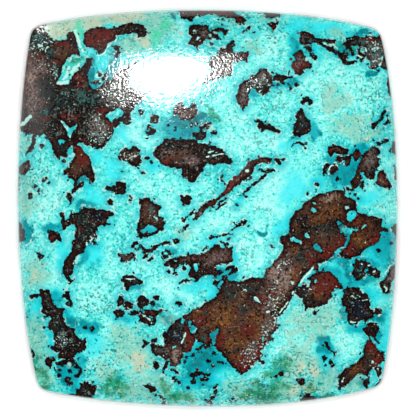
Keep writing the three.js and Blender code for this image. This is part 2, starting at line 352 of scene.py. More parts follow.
        (5.84, -2.15), (6.02, -2.27), (6.27, -2.2), (6.45, -1.9), (6.48, -1.55), (6.57, -1.07),
        (6.69, -0.77), (6.93, -0.4), (7.23, -0.1), (7.53, 0.14), (7.7, 0.45), (8.04, 0.6), (8.4, 0.92),
        (8.93, 1.08), (9.4, 1.24), (9.95, 1.37), (10.46, 1.4), (11.03, 1.4), (10.9, 1.1), (11, 0.9),
        (11.3, 0.86), (11.67, 0.76), (11.8, 0.4), (11.84, 0), (11.98, -0.38), (12.5, -0.48),
        (12.9, -0.58), (13.46, -0.75), (13.92, -0.8), (13.9, -1.1), (13.95, -1.5), (14.45, -1.64),
        (14.45, -1.9), (14, -1.88), (13.77, -1.97), (13.82, -2.27), (13.7, -2.63), (13.5, -2.87),
        (13.1, -3), (12.8, -3.1), (12.44, -3.4), (12.2, -3.7), (11.84, -3.84), (11.36, -4),
        (10.87, -4.05), (10.63, -3.9), (10.4, -3.72), (10.15, -3.55), (9.9, -3.84), (9.6, -4.1),
        (9.2, -4.3), (8.85, -4.35), (8.5, -4.5), (8.3, -4.85), (8, -5.1), (7.7, -5.3), (7.6, -5.6),
        (7.4, -6), (7.1, -6.25), (7, -6.55), (6.85, -6.8), (6.69, -7.27), (6.5, -7.57), (6.39, -7.8),
        (6.1, -8.2), (5.85, -8.5), (5.5, -8.7), (5.6, -8.85), (5.45, -9.1), (5.82, -9.25), (5.5, -9.6),
        (5.3, -9.9), (5.1, -10.2), (5.24, -10.45), (4.94, -10.63), (4.75, -10.85), (4.4, -10.98),
        (4.5, -11.2), (4.25, -11.4), (4.46, -11.66), (4.2, -11.95), (3.86, -12.14), (3.73, -12.44),
        (3.5, -12.7), (3.2, -12.9), (2.95, -13.1), (2.7, -13.25), (2.5, -13.1), (2.23, -12.9),
        (1.99, -12.6), (1.69, -12.3), (1.45, -11.96), (1.2, -11.66), (0.96, -11.36), (0.66, -11.1),
        (0.45, -10.9), (0, -10.65), (-0.4, -10.75), (-0.9, -10.4), (-1.1, -10.9), (-1.35, -11.4),
        (-1.65, -11.55), (-2.05, -11.35), (-2.1, -10.95), (-2.3, -10.85), (-2.7, -10.93),
        (-2.85, -11.25), (-2.8, -11.65), (-3, -11.95), (-3.3, -12.15), (-3.55, -11.96), (-3.84, -11.6),
        (-4.08, -11.8), (-4.35, -11.6), (-4.4, -11.25), (-4.58, -10.93), (-4.27, -10.8), (-3.9, -10.87),
        (-3.5, -11), (-3.3, -10.8), (-3.38, -10.5), (-3.3, -10.15), (-3.55, -10.27), (-3.56, -10),
        (-3.3, -9.8), (-3.06, -9.5), (-2.82, -9.25), (-2.58, -8.95), (-2.2, -8.77), (-1.98, -8.58)],
    "upper arm": [
        (-3.42, -4.44), (-3.24, -4.2), (-2.82, -4.02), (-2.34, -3.84), (-1.6, -3.78), (-1.2, -3.66),
        (-0.6, -3.66), (-0.1, -3.54), (0.13, -3.36), (0.36, -3.1), (0.66, -2.9), (0.93, -2.87),
        (1.02, -3.1), (1.33, -3.23), (1.75, -3.17), (2.05, -3), (1.95, -3.36), (2.08, -3.6), (2, -3.96),
        (2.07, -4.26), (1.75, -4.38), (1.5, -4.44), (1.2, -4.44), (0.78, -4.5), (0.72, -4.62),
        (0.85, -4.9), (1.15, -4.92), (0.9, -5.2), (0.55, -5.34), (0.31, -5.28), (-0.23, -5.4),
        (-0.6, -5.58), (-0.83, -5.83), (-1.07, -5.58), (-1.37, -5.46), (-1.5, -5.04), (-1.3, -4.86),
        (-1.43, -4.6), (-1.5, -4.38), (-1.98, -4.44), (-2.28, -4.62), (-2.3, -4.85), (-2.64, -4.9),
        (-2.82, -4.62), (-3.18, -4.58), (-3.36, -4.58)],
    "arm barb": [
        (1.75, -4.7), (2.3, -4.75), (2.3, -4.95), (2.15, -5.1), (2, -4.95)],
    "arrow head": [
        (-5.1, -10.4), (-4.9, -10.57), (-4.55, -10.7), (-4.78, -10.93), (-5.12, -11.12)],
    "left oval": [
        (-4.38, -12.2), (-4.1, -12.12), (-3.88, -12.38), (-3.83, -12.75), (-4.1, -12.85), (-4.3, -12.6)],
    "hook chip": [
        (-2.98, -12.78), (-2.5, -12.72), (-2.3, -13.2), (-2.47, -13.22), (-2.62, -13.03),
        (-2.93, -12.98)],
    "teal bar": [
        (-1.45, -13.16), (-1.13, -13.03), (-0.65, -12.98), (-0.17, -13.05), (0.25, -13.12),
        (0.28, -13.35), (0.03, -13.47), (-0.1, -13.3), (-0.6, -13.27), (-0.9, -13.34), (-1.07, -13.5),
        (-1.32, -13.4)],
    "blue slug": [
        (-5.15, -14.08), (-4.85, -14.05), (-4.7, -13.88), (-4.5, -14.08), (-4.2, -14.25),
        (-4.02, -14.45), (-4.35, -14.75), (-4.63, -14.5), (-4.9, -14.25)],
    "bottom edge mass": [
        (7.3, -16.2), (7.45, -15.35), (7.75, -14.97), (7.9, -14.73), (8.25, -14.73), (8.3, -14.97),
        (8.65, -15.1), (8.7, -15.35), (8.8, -16.2)],
    "right brown block": [
        (8.2, -5.35), (8.9, -5.04), (9.3, -5.02), (9.8, -5.1), (10.15, -5.48), (10.4, -5.7), (10.57, -6),
        (10.82, -6.25), (10.75, -6.38), (10.4, -6.4), (10.1, -6.5), (9.9, -6.67), (9.98, -7.03),
        (9.73, -7.27), (9.5, -7.57), (9, -7.8), (8.6, -7.93), (8.16, -7.87), (7.86, -8.02), (7.65, -7.6),
        (7.5, -7.15), (7.2, -7.05), (7, -6.6), (7.12, -6.3), (7.45, -6.15), (7.62, -5.9), (7.9, -5.72),
        (8.05, -5.5)],
    "block peak": [
        (8.5, -4.85), (8.62, -4.52), (8.8, -4.48), (8.85, -4.75), (8.7, -4.95)],
    "right knot": [
        (11.58, -4.5), (11.78, -4.25), (12.2, -4.15), (12.62, -4.2), (13.02, -4.45), (13.15, -4.72),
        (13.5, -4.8), (13.8, -5.05), (13.77, -5.42), (13.5, -5.6), (13.2, -5.45), (12.8, -5.4),
        (12.45, -5.5), (12.3, -5.75), (11.95, -5.82), (11.65, -5.5), (11.52, -5.1), (11.62, -4.8)],
    "right edge bar": [
        (14.55, -4.85), (14.75, -4.65), (15.1, -4.5), (16, -4.5), (16, -5.7), (15, -5.65),
        (14.62, -5.95), (14.6, -6.3), (14.62, -6.6), (14.48, -6.85), (14.1, -6.8), (13.88, -6.42),
        (13.7, -6), (13.97, -5.68), (14.33, -5.37)],
    "right edge tooth": [
        (14.65, -1.5), (15, -1.25), (16, -1.2), (16, -2.2), (15, -2.2), (14.8, -1.9)],
    "black block": [
        (10.87, -6.5), (11.1, -6.3), (11.6, -6.35), (11.96, -6.28), (12.1, -6.6), (12.3, -6.8),
        (12.74, -6.83), (12.93, -7.1), (12.93, -7.4), (12.98, -7.75), (12.85, -7.95), (13.12, -8.05),
        (13.22, -8.4), (13.3, -8.65), (13.16, -8.85), (12.8, -8.9), (12.62, -9.12), (12.44, -8.92),
        (12.08, -8.98), (11.84, -9.22), (11.7, -9.27), (11.22, -9.32), (11.08, -8.95), (11.08, -8.2),
        (10.98, -7.87), (10.7, -7.75), (10.7, -7.27), (10.8, -7.1), (10.78, -6.73)],
    "lower block": [
        (12.36, -9.7), (12.58, -9.48), (12.78, -9.17), (13.1, -9.12), (13.4, -9.15), (13.65, -9.38),
        (13.82, -9.87), (13.55, -10.03), (13.45, -10.23), (13.1, -10.25), (12.8, -10.13), (12.6, -9.95)],
    "boomerang": [
        (12.55, -10.8), (12.7, -10.55), (13.05, -10.52), (13.18, -10.8), (13.5, -10.87), (13.65, -11.3),
        (13.95, -11.45), (14.2, -11.43), (14.08, -11.7), (14.08, -12.2), (13.77, -12.42), (13.62, -12.6),
        (13.9, -12.75), (13.88, -13.2), (13.62, -13.5), (13.47, -13.05), (13.25, -12.9), (13, -12.97),
        (12.92, -13.3), (12.75, -13.5), (12.58, -13.3), (12.35, -13.2), (12.08, -13.22), (11.8, -13.4),
        (11.5, -13.75), (11.3, -13.95), (11.08, -14.05), (10.9, -14.33), (10.6, -14.27), (10.42, -13.95),
        (10.5, -13.72), (10.32, -13.5), (10.65, -13.18), (11, -12.8), (11.4, -12.48), (11.9, -12.38),
        (12.12, -12.08), (12.38, -11.78), (12.42, -11.38), (12.52, -11.05)],
    "foot oval": [
        (12.35, -13.55), (12.62, -13.62), (12.9, -13.55), (12.97, -14), (12.76, -14.42), (12.42, -14.3)],
    "corner wedge": [
        (13.42, -14.2), (13.62, -13.98), (13.85, -13.75), (14.1, -13.6), (15, -13.5), (14.5, -15),
        (13.6, -14.5)],
    "right web": [
        (12.45, 4.25), (12.6, 4.5), (12.9, 4.78), (13.2, 4.92), (13.55, 4.88), (13.78, 4.55),
        (13.78, 4.28), (13.55, 4.15), (13.55, 4.02), (13.74, 3.95), (13.74, 3.75), (13.55, 3.62),
        (13.7, 3.5), (13.74, 3.33), (13.5, 3.17), (13.42, 3), (13.42, 2.7), (13.3, 2.32), (13.05, 2.25),
        (12.85, 2.35), (12.65, 2.4), (12.45, 2.22), (12.3, 2.3), (12.2, 2.15), (12.12, 1.9),
        (11.97, 1.66), (11.7, 1.56), (11.42, 1.83), (11.47, 2.2), (11.72, 2.6), (11.88, 3), (11.97, 3.3),
        (12.08, 3.6), (12.28, 3.95)],
    "right triangle": [
        (13.5, 2.75), (13.72, 2.98), (14.05, 2.98), (14.22, 2.7), (14.42, 2.27), (14.7, 1.75),
        (14.52, 1.47), (14.25, 1.65), (13.65, 1.74), (13.45, 1.98), (13.47, 2.4)],
    "brown wing": [
        (11.5, 4.2), (11.6, 4.52), (11.82, 4.68), (12.07, 4.62), (12.24, 4.35), (12.13, 4),
        (11.82, 3.72), (11.6, 3.88)],
    "upper wing": [
        (13.28, 5.22), (13.5, 5.28), (13.75, 5.2), (13.97, 5.08), (13.85, 4.9), (13.6, 4.97)],
    "edge strip high": [
        (14.75, 5.3), (14.72, 4.4), (15, 4.25), (16, 4.2), (16, 5.4)],
    "edge strip mid": [
        (14.95, 3.2), (15, 2.25), (16, 2.2), (16, 3.2)],
    "tall bead": [
        (10.86, 4.02), (11.02, 4.22), (11.32, 4.3), (11.5, 4.05), (11.46, 3.7), (11.3, 3.38), (11, 3.2),
        (10.82, 3.42), (10.97, 3.75)],
    "crescent": [
        (9.17, 2.65), (9.17, 3.2), (9.38, 3.52), (9.75, 3.57), (9.5, 3.2), (9.5, 2.7)],
    "s patch tail": [
        (5.15, 10.45), (5.5, 10.6), (5.9, 10.55), (6.4, 10.5), (6.75, 10.38), (6.4, 10.3), (6.15, 10.1),
        (6.1, 9.75), (5.9, 9.85), (5.7, 10.05), (5.4, 10.1), (5.2, 10.15)],
    "vein upper strand": [
        (7.4, 13.93), (7.64, 14.08), (8, 13.98), (8.37, 13.77), (8.73, 13.57), (9.09, 13.42),
        (9.39, 13.5), (9.75, 13.44), (10.26, 13.37), (10.1, 13.12), (9.75, 13.1), (9.5, 13.23),
        (9.2, 13.18), (8.8, 13.12), (8.5, 13.22), (8.37, 12.99), (8, 13.02), (7.6, 12.95),
        (7.36, 13.14)],
    "vein lower strand": [
        (8.8, 13.18), (9.2, 13.19), (9.39, 13.04), (9.63, 12.88), (9.87, 12.82), (10.1, 12.82),
        (10.22, 12.58), (10.48, 12.46), (10.66, 12.4), (10.9, 12.46), (11.16, 12.32), (11.2, 12.06),
        (11.05, 11.88), (11.15, 11.7), (11.44, 11.75), (11.8, 11.87), (11.95, 11.67), (11.7, 11.52),
        (11.3, 11.37), (10.96, 11.4), (10.7, 11.7), (10.58, 12), (10.4, 12.14), (10.13, 12.2),
        (9.92, 12.44), (9.58, 12.56), (9.23, 12.8), (9.03, 12.98)],
    "right corner": [
        (10.75, 13.1), (10.95, 13.3), (11.2, 13.4), (11.5, 13.35), (11.75, 13.5), (12.05, 13.75),
        (12.3, 13.6), (12.7, 13.72), (13.2, 13.75), (13.55, 13.7), (13.75, 13.95), (13.9, 14.4),
        (16, 14.4), (16, 8.9), (14.5, 8.9), (14.38, 9.9), (14.42, 10.5), (14.3, 11), (14, 11.1),
        (13.75, 11.3), (13.5, 11.1), (13.2, 11.05), (12.9, 11.2), (13, 11.5), (12.85, 11.85),
        (12.6, 12.05), (12.25, 12.05), (12, 12.25), (11.95, 12.6), (12.05, 12.85), (11.85, 12.98),
        (11.55, 12.9), (11.3, 12.75), (11.05, 12.72), (10.85, 12.9)],
    "speckled lobe": [
        (6.72, 12.18), (6.98, 12.4), (7.34, 12.54), (7.66, 12.5), (7.74, 12.18), (7.93, 12),
        (7.7, 11.84), (7.75, 11.7), (8.1, 11.62), (8.42, 11.48), (8.3, 11.12), (8, 11.02), (7.7, 11.15),
        (7.5, 11.12), (7.66, 10.9), (7.72, 10.7), (7.4, 10.54), (7.02, 10.62), (6.83, 10.98),
        (6.65, 11.34), (6.72, 11.66), (7, 11.78), (6.9, 12)],
    "bead group": [
        (9.58, 4.6), (9.63, 4.88), (9.95, 5.04), (10.25, 5), (10.48, 5), (10.68, 4.82), (10.87, 4.73),
        (11.12, 4.72), (11.24, 4.5), (11.17, 4.3), (10.9, 4.22), (10.6, 4.28), (10.3, 4.28), (10.1, 4.4),
        (9.97, 4.18), (9.78, 4.06), (9.62, 4.3)],
    "middle bead": [
        (10.18, 4.02), (10.45, 4.2), (10.82, 4.1), (10.9, 3.8), (10.7, 3.56), (10.42, 3.6),
        (10.22, 3.8)],
    "lower bead": [
        (9.72, 3.5), (10.1, 3.57), (10.38, 3.3), (10.32, 3), (10.1, 2.68), (9.8, 2.72), (9.64, 3.05)],
    "leaf vein fork": [
        (3.88, 3.1), (4.3, 3.1), (4.62, 3.04), (5, 3.14), (5.35, 2.95), (5.02, 2.77), (4.75, 2.72),
        (4.57, 2.5), (4.38, 2.42), (4.5, 2.75), (4.3, 2.9), (3.95, 2.95)],
    "pink cluster": [
        (-2.78, 7.6), (-2.6, 7.98), (-2.36, 8.14), (-2.3, 8.52), (-2.03, 8.42), (-1.87, 8.03),
        (-1.6, 7.83), (-1.37, 7.98), (-1.3, 8.28), (-0.98, 8.38), (-0.82, 8), (-0.87, 7.5),
        (-1.08, 7.12), (-1.5, 6.96), (-2, 6.96), (-2.22, 7.08), (-2.33, 7.38), (-2.62, 7.32)],
    "navy block": [
        (-1.18, 5.92), (-0.6, 6.08), (-0.12, 6.03), (-0.07, 5.6), (-0.4, 5.42), (-0.8, 5.47),
        (-1.13, 5.62)],
    "oval cluster": [
        (-7.13, 4.1), (-6.87, 4.48), (-6.6, 4.73), (-6.3, 4.78), (-6.05, 4.74), (-5.9, 4.98),
        (-5.63, 4.83), (-5.37, 4.52), (-5.27, 4.1), (-5.22, 3.75), (-5.33, 3.37), (-5.7, 3.32),
        (-6, 3.47), (-6.2, 3.57), (-6.4, 3.72), (-6.7, 3.72), (-7.03, 3.82)],
    "teal bar foot": [
        (-0.5, -13.5), (-0.1, -13.42), (0.15, -13.6), (0.05, -13.85), (-0.3, -13.82), (-0.55, -13.7)],
    "root tangle": [
        (-0.8, -10.25), (-0.3, -10), (0.05, -10.15), (0.12, -10.5), (0.38, -10.95), (0.2, -11.15),
        (-0.05, -10.95), (-0.35, -10.75), (-0.75, -10.6)],
    "clay lens": [
        (-2.9, -11.3), (-2.3, -10.9), (-2, -11.05), (-1.95, -11.7), (-2.1, -12.3), (-2.5, -12.65),
        (-2.9, -12.5), (-3.05, -12.1), (-3, -11.7)],
}

# Openings in the patches above, where the ground shows through.
WINDOWS = [
    [(-11.75, 6.97), (-11.5, 6.9), (-11.1, 6.5), (-10.9, 6.35), (-10.6, 6.4), (-10.43, 6.62),
     (-10.48, 6.25), (-10.72, 6.1), (-10.75, 5.7), (-10.9, 5.4), (-11.05, 5.8), (-11.15, 6.2),
     (-11.4, 6.5)],
    [(-11.9, 5.35), (-11.6, 5.5), (-11.3, 5.3), (-11.45, 5.1), (-11.7, 5.1)],
    [(-8.05, 7.5), (-7.75, 7.65), (-7.35, 7.7), (-7.05, 7.98), (-6.7, 7.78), (-6.6, 7.5), (-6.8, 7.25),
     (-7.1, 7.2), (-7.35, 7.05), (-7.6, 6.8), (-7.8, 7.1), (-8.05, 7.25)],
    [(-5.3, -1.85), (-4.8, -1.47), (-4.55, -1.25), (-4.3, -1.47), (-3.98, -1.75), (-4.2, -1.95),
     (-4.6, -1.97), (-5, -2.02)],
    [(-1.13, -4.36), (-0.62, -4.38), (-0.68, -4.74), (-0.89, -5), (-1.04, -4.74)],
    [(-2.72, -4.12), (-2.4, -4.12), (-2.3, -4.25), (-2.6, -4.33)],
    [(6.55, -2.4), (6.8, -2.25), (7, -2.48), (7.5, -2.6), (7.5, -2.88), (7.1, -2.77), (6.63, -2.6)],
    [(7.77, -1.92), (8.05, -2.08), (8.13, -2.42), (7.8, -2.42)],
    [(8.25, -0.12), (8.45, 0), (8.7, -0.18), (8.6, -0.42), (8.35, -0.38)],
    [(8.35, 0.45), (8.6, 0.5), (8.7, 0.3), (8.45, 0.25)],
    [(8.27, -3.1), (8.5, -2.9), (8.9, -2.98), (9, -3.25), (9.22, -3.5), (9.05, -3.55), (8.8, -3.35),
     (8.5, -3.27)],
    [(10.32, -0.98), (10.45, -1.02), (10.8, -1.35), (11.24, -1.6), (11.7, -1.67), (12, -1.7),
     (11.6, -1.9), (11.36, -2.15), (11.3, -2.5), (11.1, -3), (10.75, -3.36), (10.4, -3.75), (9.95, -3.9),
     (10.15, -3.5), (10.5, -3.2), (10.93, -2.87), (11, -2.5), (10.93, -2.15), (10.63, -1.9),
     (10.5, -1.55), (10.3, -1.3)],
    [(11.05, -0.5), (11.3, -0.28), (11.8, -0.18), (11.92, -0.6), (11.7, -0.9), (11.4, -1.08),
     (11.12, -0.95)],
    [(12.45, -1.22), (12.6, -1.35), (12.42, -1.65), (12.25, -1.68), (12.35, -1.45)],
    [(-2.12, -8.8), (-1.95, -8.7), (-1.82, -8.95), (-1.88, -9.3), (-2.05, -9.15)],
    [(-1.62, -9), (-1.22, -8.98), (-1.3, -9.38), (-1.1, -9.33), (-0.83, -9.48), (-0.83, -9.9),
     (-1.2, -10), (-1.45, -9.6)],
    [(0.92, -9.5), (0.45, -9.8), (0.15, -9.95), (0.3, -10.3), (0.45, -10.9), (0.6, -10.9),
     (0.68, -10.4), (0.86, -9.9)],
    [(3.4, -6.95), (3.8, -7.05), (4.3, -7.55), (4.1, -7.5), (3.7, -7.2)],
    [(11, 0.12), (11.3, 0.1), (11.25, -0.1), (11, -0.15)],
    [(4.4, -10.3), (4.52, -10.25), (4.56, -10.6), (4.45, -10.68)],
    [(12.5, -4.9), (12.75, -4.82), (12.9, -4.95), (12.75, -5.1), (12.5, -5.1)],
    [(12.55, -5.3), (12.9, -5.2), (13.1, -5.3), (12.85, -5.38)],
    [(7.68, -5.88), (7.95, -5.66), (8.2, -5.8), (8.15, -6.12), (7.85, -6.2)],
    [(8.52, -5.68), (8.7, -5.6), (8.72, -5.88), (8.55, -5.95)],
    [(12.2, 12.4), (12.45, 12.35), (12.6, 12.55), (12.5, 12.78), (12.25, 12.8), (12.12, 12.6)],
    [(12.25, 2.75), (12.35, 2.5), (12.55, 2.42), (12.4, 2.65), (12.45, 2.85)],
]

# Thin strands of matrix: the half width, then the points along it.
STRANDS = [
    (0.1, [(-7.5, 12.9), (-7.15, 12.7), (-7, 12.35), (-7.2, 12.05)]),
    (0.09, [(0.1, 14), (0.72, 13.63), (1, 13.45)]),
    (0.07, [(2.8, 14), (3.15, 14.2), (3.4, 14.4)]),
    (0.14, [(8.3, 12.2), (8.6, 11.97)]),
    (0.09, [(11.4, 12.8), (11.6, 12.2)]),
    (0.06, [(11.1, 13.5), (12, 13.65)]),
    (0.1, [(4.1, 6.93), (4.25, 6.8), (4.4, 6.68)]),
    (0.12, [(4.15, 6.45), (4.4, 6.4), (4.35, 6.2)]),
    (0.15, [(4.65, 6.45), (4.95, 6.4), (5.2, 6.28)]),
    (0.11, [(5.2, 6.28), (5.45, 6.15), (5.65, 6.05)]),
    (0.05, [(6.7, 4.87), (6.9, 5.12), (7.27, 5.19), (7.6, 5.05), (7.78, 4.8)]),
    (0.09, [(13.15, 6.45), (13.4, 6.7), (13.7, 6.95), (13.95, 7.15)]),
    (0.13, [(13.15, 6.45), (13.4, 6.7)]),
    (0.11, [(13.96, 7.35), (14.15, 7.7)]),
    (0.1, [(14, 5.3), (14.3, 5.37)]),
    (0.11, [(12.37, 2.07), (12.3, 1.68)]),
    (0.07, [(4.55, 2.6), (4.2, 2.25), (3.7, 1.9), (3.3, 1.6), (3, 1.25), (2.65, 0.95)]),
    (0.04, [(3.5, 2.4), (3.1, 2.15)]),
    (0.04, [(1.6, 0.8), (1, 0.45), (0.6, 0.15)]),
    (0.04, [(1.4, 0.4), (0.7, -0.1)]),
    (0.04, [(-1.05, -0.15), (-1.35, -0.5), (-1.9, -1.05)]),
    (0.05, [(-1.5, -1.35), (-1.9, -1.7)]),
    (0.07, [(-5.95, -3.1), (-5.8, -2.85), (-5.6, -2.78), (-5.4, -2.9), (-5.1, -3.15)]),
    (0.05, [(-5.85, -3.45), (-5.7, -3.25), (-5.5, -3.3)]),
    (0.12, [(-5, -3.5), (-4.5, -3.4), (-4.1, -3.1)]),
    (0.08, [(-4.1, -3.1), (-3.7, -2.9), (-3.2, -2.7), (-2.95, -2.8)]),
    (0.08, [(-5, -3.95), (-4.75, -3.7)]),
    (0.05, [(-4.6, -4.15), (-4.3, -3.9)]),
    (0.04, [(0.5, -2.3), (0.9, -2.25), (1.4, -2.15)]),
    (0.06, [(-0.29, -3.3), (-0.05, -3.1)]),
    (0.12, [(3, -1.1), (2.6, -1.3), (2.3, -1.5)]),
    (0.06, [(2.3, -1.5), (2, -1.7), (1.7, -2)]),
    (0.13, [(-10.7, 1.3), (-10.35, 1.6), (-9.95, 1.9)]),
    (0.13, [(-14, -7.05), (-13.5, -6.95)]),
    (0.12, [(-10.4, -12.6), (-10.1, -12.8), (-10.05, -13.05), (-10.4, -13.4)]),
    (0.12, [(-11.9, -12.4), (-11.3, -12.35)]),
    (0.06, [(-14, -11.3), (-13.85, -11.85)]),
    (0.04, [(-2.2, -6), (-1.9, -5.72), (-1.4, -5.75), (-0.9, -5.8)]),
    (0.1, [(-3.2, -12.3), (-3.35, -12.65), (-3.5, -13.05)]),
    (0.07, [(0.55, -14.3), (0.8, -14.1)]),
    (0.07, [(0.3, -15.2), (0.6, -15)]),
    (0.07, [(-0.1, -15.3), (0.3, -15.63)]),
    (0.08, [(-3.5, -15.4), (-3.5, -15.8)]),
    (0.08, [(1.75, -4.65), (2.3, -4.75)]),
    (0.12, [(2.05, -4.85), (2.25, -5.02)]),
    (0.06, [(9.5, -10.95), (9.75, -11.25), (9.95, -11.45)]),
    (0.15, [(9.78, -12.2), (9.97, -12.47)]),
    (0.09, [(7.47, -13.83), (7.15, -13.68)]),
    (0.08, [(4.15, -12.15), (4.4, -12.25)]),
    (0.06, [(13.2, -10.2), (13.65, -10.75)]),
    (0.1, [(0.95, -12.2), (1.3, -12.3)]),
    (0.07, [(1.15, -5.72), (1.5, -5.5), (1.75, -5.2), (2.1, -5.05)]),
    (0.06, [(0.95, -5.25), (1.35, -5.05), (1.6, -4.8), (1.9, -4.7)]),
    (0.06, [(0.8, -5.9), (1.1, -5.72), (1.3, -5.42)]),
    (0.05, [(-0.35, -10.9), (-0.6, -11.2), (-0.7, -11.5)]),
]

# Small round grains of matrix: x, y and radius.
GRAINS = [
    (0.3, 13.05, 0.12), (3.7, 13.96, 0.09), (7.1, 9.8, 0.1), (6.6, 9.5, 0.08), (3.82, 6.9, 0.1),
    (-0.1, 6.5, 0.26), (-1.2, 6.55, 0.12), (-0.85, 6.65, 0.13), (-0.5, 6.35, 0.12), (0.25, 6.7, 0.12),
    (-2.55, 6.25, 0.1), (-3.05, 6.55, 0.08), (0.5, 5.97, 0.17), (0.62, 5.94, 0.12), (-4.2, 7.05, 0.33),
    (-4.6, 6.4, 0.17), (-4.35, 6.05, 0.24), (-4.72, 5.95, 0.14), (-5.25, 7.58, 0.2), (-4.75, 3.95, 0.17),
    (-4.4, 3.6, 0.08), (-5.1, 2.8, 0.08), (-6.75, 2.95, 0.1), (-6.1, 0.6, 0.12), (-7.7, 0.48, 0.17),
    (-8.95, 5.05, 0.1), (8, 1.15, 0.1), (5.45, 3.85, 0.14), (5.65, 3.68, 0.16), (5.78, 3.48, 0.12),
    (6, 3.8, 0.1), (1.18, 2.5, 0.13), (1.22, 2.15, 0.1), (2.3, 0.2, 0.12), (10.35, 2.35, 0.13),
    (10.5, 2.33, 0.1), (8.7, 1.9, 0.14), (14.25, 6.7, 0.12), (14.5, 6.87, 0.12), (14.4, 7.4, 0.1),
    (11.2, 1.5, 0.12), (11.55, 1.43, 0.14), (11.35, 1.15, 0.1), (11.7, 1.05, 0.13), (12, 0.73, 0.1),
    (-13, 2.2, 0.13), (-12.75, 2.3, 0.1), (-12.55, 2, 0.12), (-13.7, 1.72, 0.14), (-13.45, 1.4, 0.13),
    (-14.1, 1.1, 0.12), (-14.15, 0.85, 0.1), (-13.15, 4.95, 0.14), (-11.4, 3.7, 0.12), (-11, 1, 0.17),
    (-10.8, 0.68, 0.17), (-11.1, -6.75, 0.15), (-11.4, -7, 0.13), (-11.05, -7.1, 0.15),
    (-10.95, -7.4, 0.12), (-11.07, -7.6, 0.14), (-10.85, -7.65, 0.17), (-9.15, -9.6, 0.17),
    (-9.7, -9.5, 0.1), (-11.75, -12.95, 0.1), (-11.85, -13.35, 0.15), (-11.15, -13.65, 0.25),
    (-11, -13.97, 0.18), (-10.97, -12.98, 0.12), (-4.3, -7.57, 0.18), (-2.35, -7.57, 0.17),
    (-2.2, -7.65, 0.17), (-5.9, -8.4, 0.2), (-3.15, -3.4, 0.14), (-3.52, -3.62, 0.1),
    (-3.3, -3.88, 0.14), (-2.95, -3.62, 0.1), (-2.45, -2.62, 0.2), (-2.35, -2.55, 0.14),
    (-1.8, -4.8, 0.14), (-2.6, -5.15, 0.1), (-3.05, -5, 0.12), (0.35, -2.32, 0.12), (1.9, -2.1, 0.1),
    (1.7, -2.42, 0.1), (1.5, -2.9, 0.14), (1.15, -2.7, 0.1), (5.09, -3, 0.06), (0.62, -5.35, 0.12),
    (0.6, -5.9, 0.15), (0.75, -6.15, 0.08), (1.5, -5.72, 0.18), (7.65, -0.9, 0.14), (6.5, -5.9, 0.12),
    (-4.28, -10.5, 0.15), (-4.1, -10.5, 0.15), (-2.68, -13.57, 0.13), (-2.55, -13.65, 0.12),
    (-2.2, -13.9, 0.12), (-1.7, -11.88, 0.12), (-1.78, -12.22, 0.11), (-1.15, -11.7, 0.13),
    (-0.83, -11.2, 0.08), (-0.1, -11.1, 0.1), (0.1, -12.17, 0.13), (0.45, -12.52, 0.1),
    (0.5, -11.6, 0.14), (-1.1, -13.8, 0.2), (-1.55, -14.3, 0.1), (0.65, -14.65, 0.14),
    (2.05, -15.15, 0.1), (-4.1, -14.92, 0.09), (-3.8, -14.98, 0.1), (-3.68, -15.05, 0.09),
    (8.62, -4.75, 0.2), (8.7, -4.6, 0.14), (9.2, -4.85, 0.1), (13.64, -3.36, 0.15), (14.67, -2.85, 0.1),
    (14.75, -3.1, 0.1), (14.8, -4.15, 0.08), (13.52, -8.25, 0.24), (13.72, -8.3, 0.2),
    (9.45, -10.78, 0.13), (10.15, -11.56, 0.13), (9.35, -11.95, 0.2), (9.45, -12.5, 0.08),
    (8.55, -8.3, 0.12), (8.8, -8.1, 0.08), (5.48, -13.4, 0.1), (5.87, -13.2, 0.19), (7.53, -13.85, 0.26),
    (-11.05, 10.9, 0.06), (-11.2, 11.25, 0.06), (-10.95, 10.6, 0.05), (-8.65, 10.75, 0.06),
    (-8, 10.25, 0.07), (-8.52, 10.55, 0.17), (-8.08, 10.56, 0.16), (-8.28, 10.3, 0.14),
    (-8.76, 10, 0.17), (-8.52, 9.9, 0.1), (12.3, 11.75, 0.14), (12.78, 11.45, 0.08), (12, 12, 0.1),
    (4.72, -8.55, 0.2), (2.75, -8.35, 0.14),
]

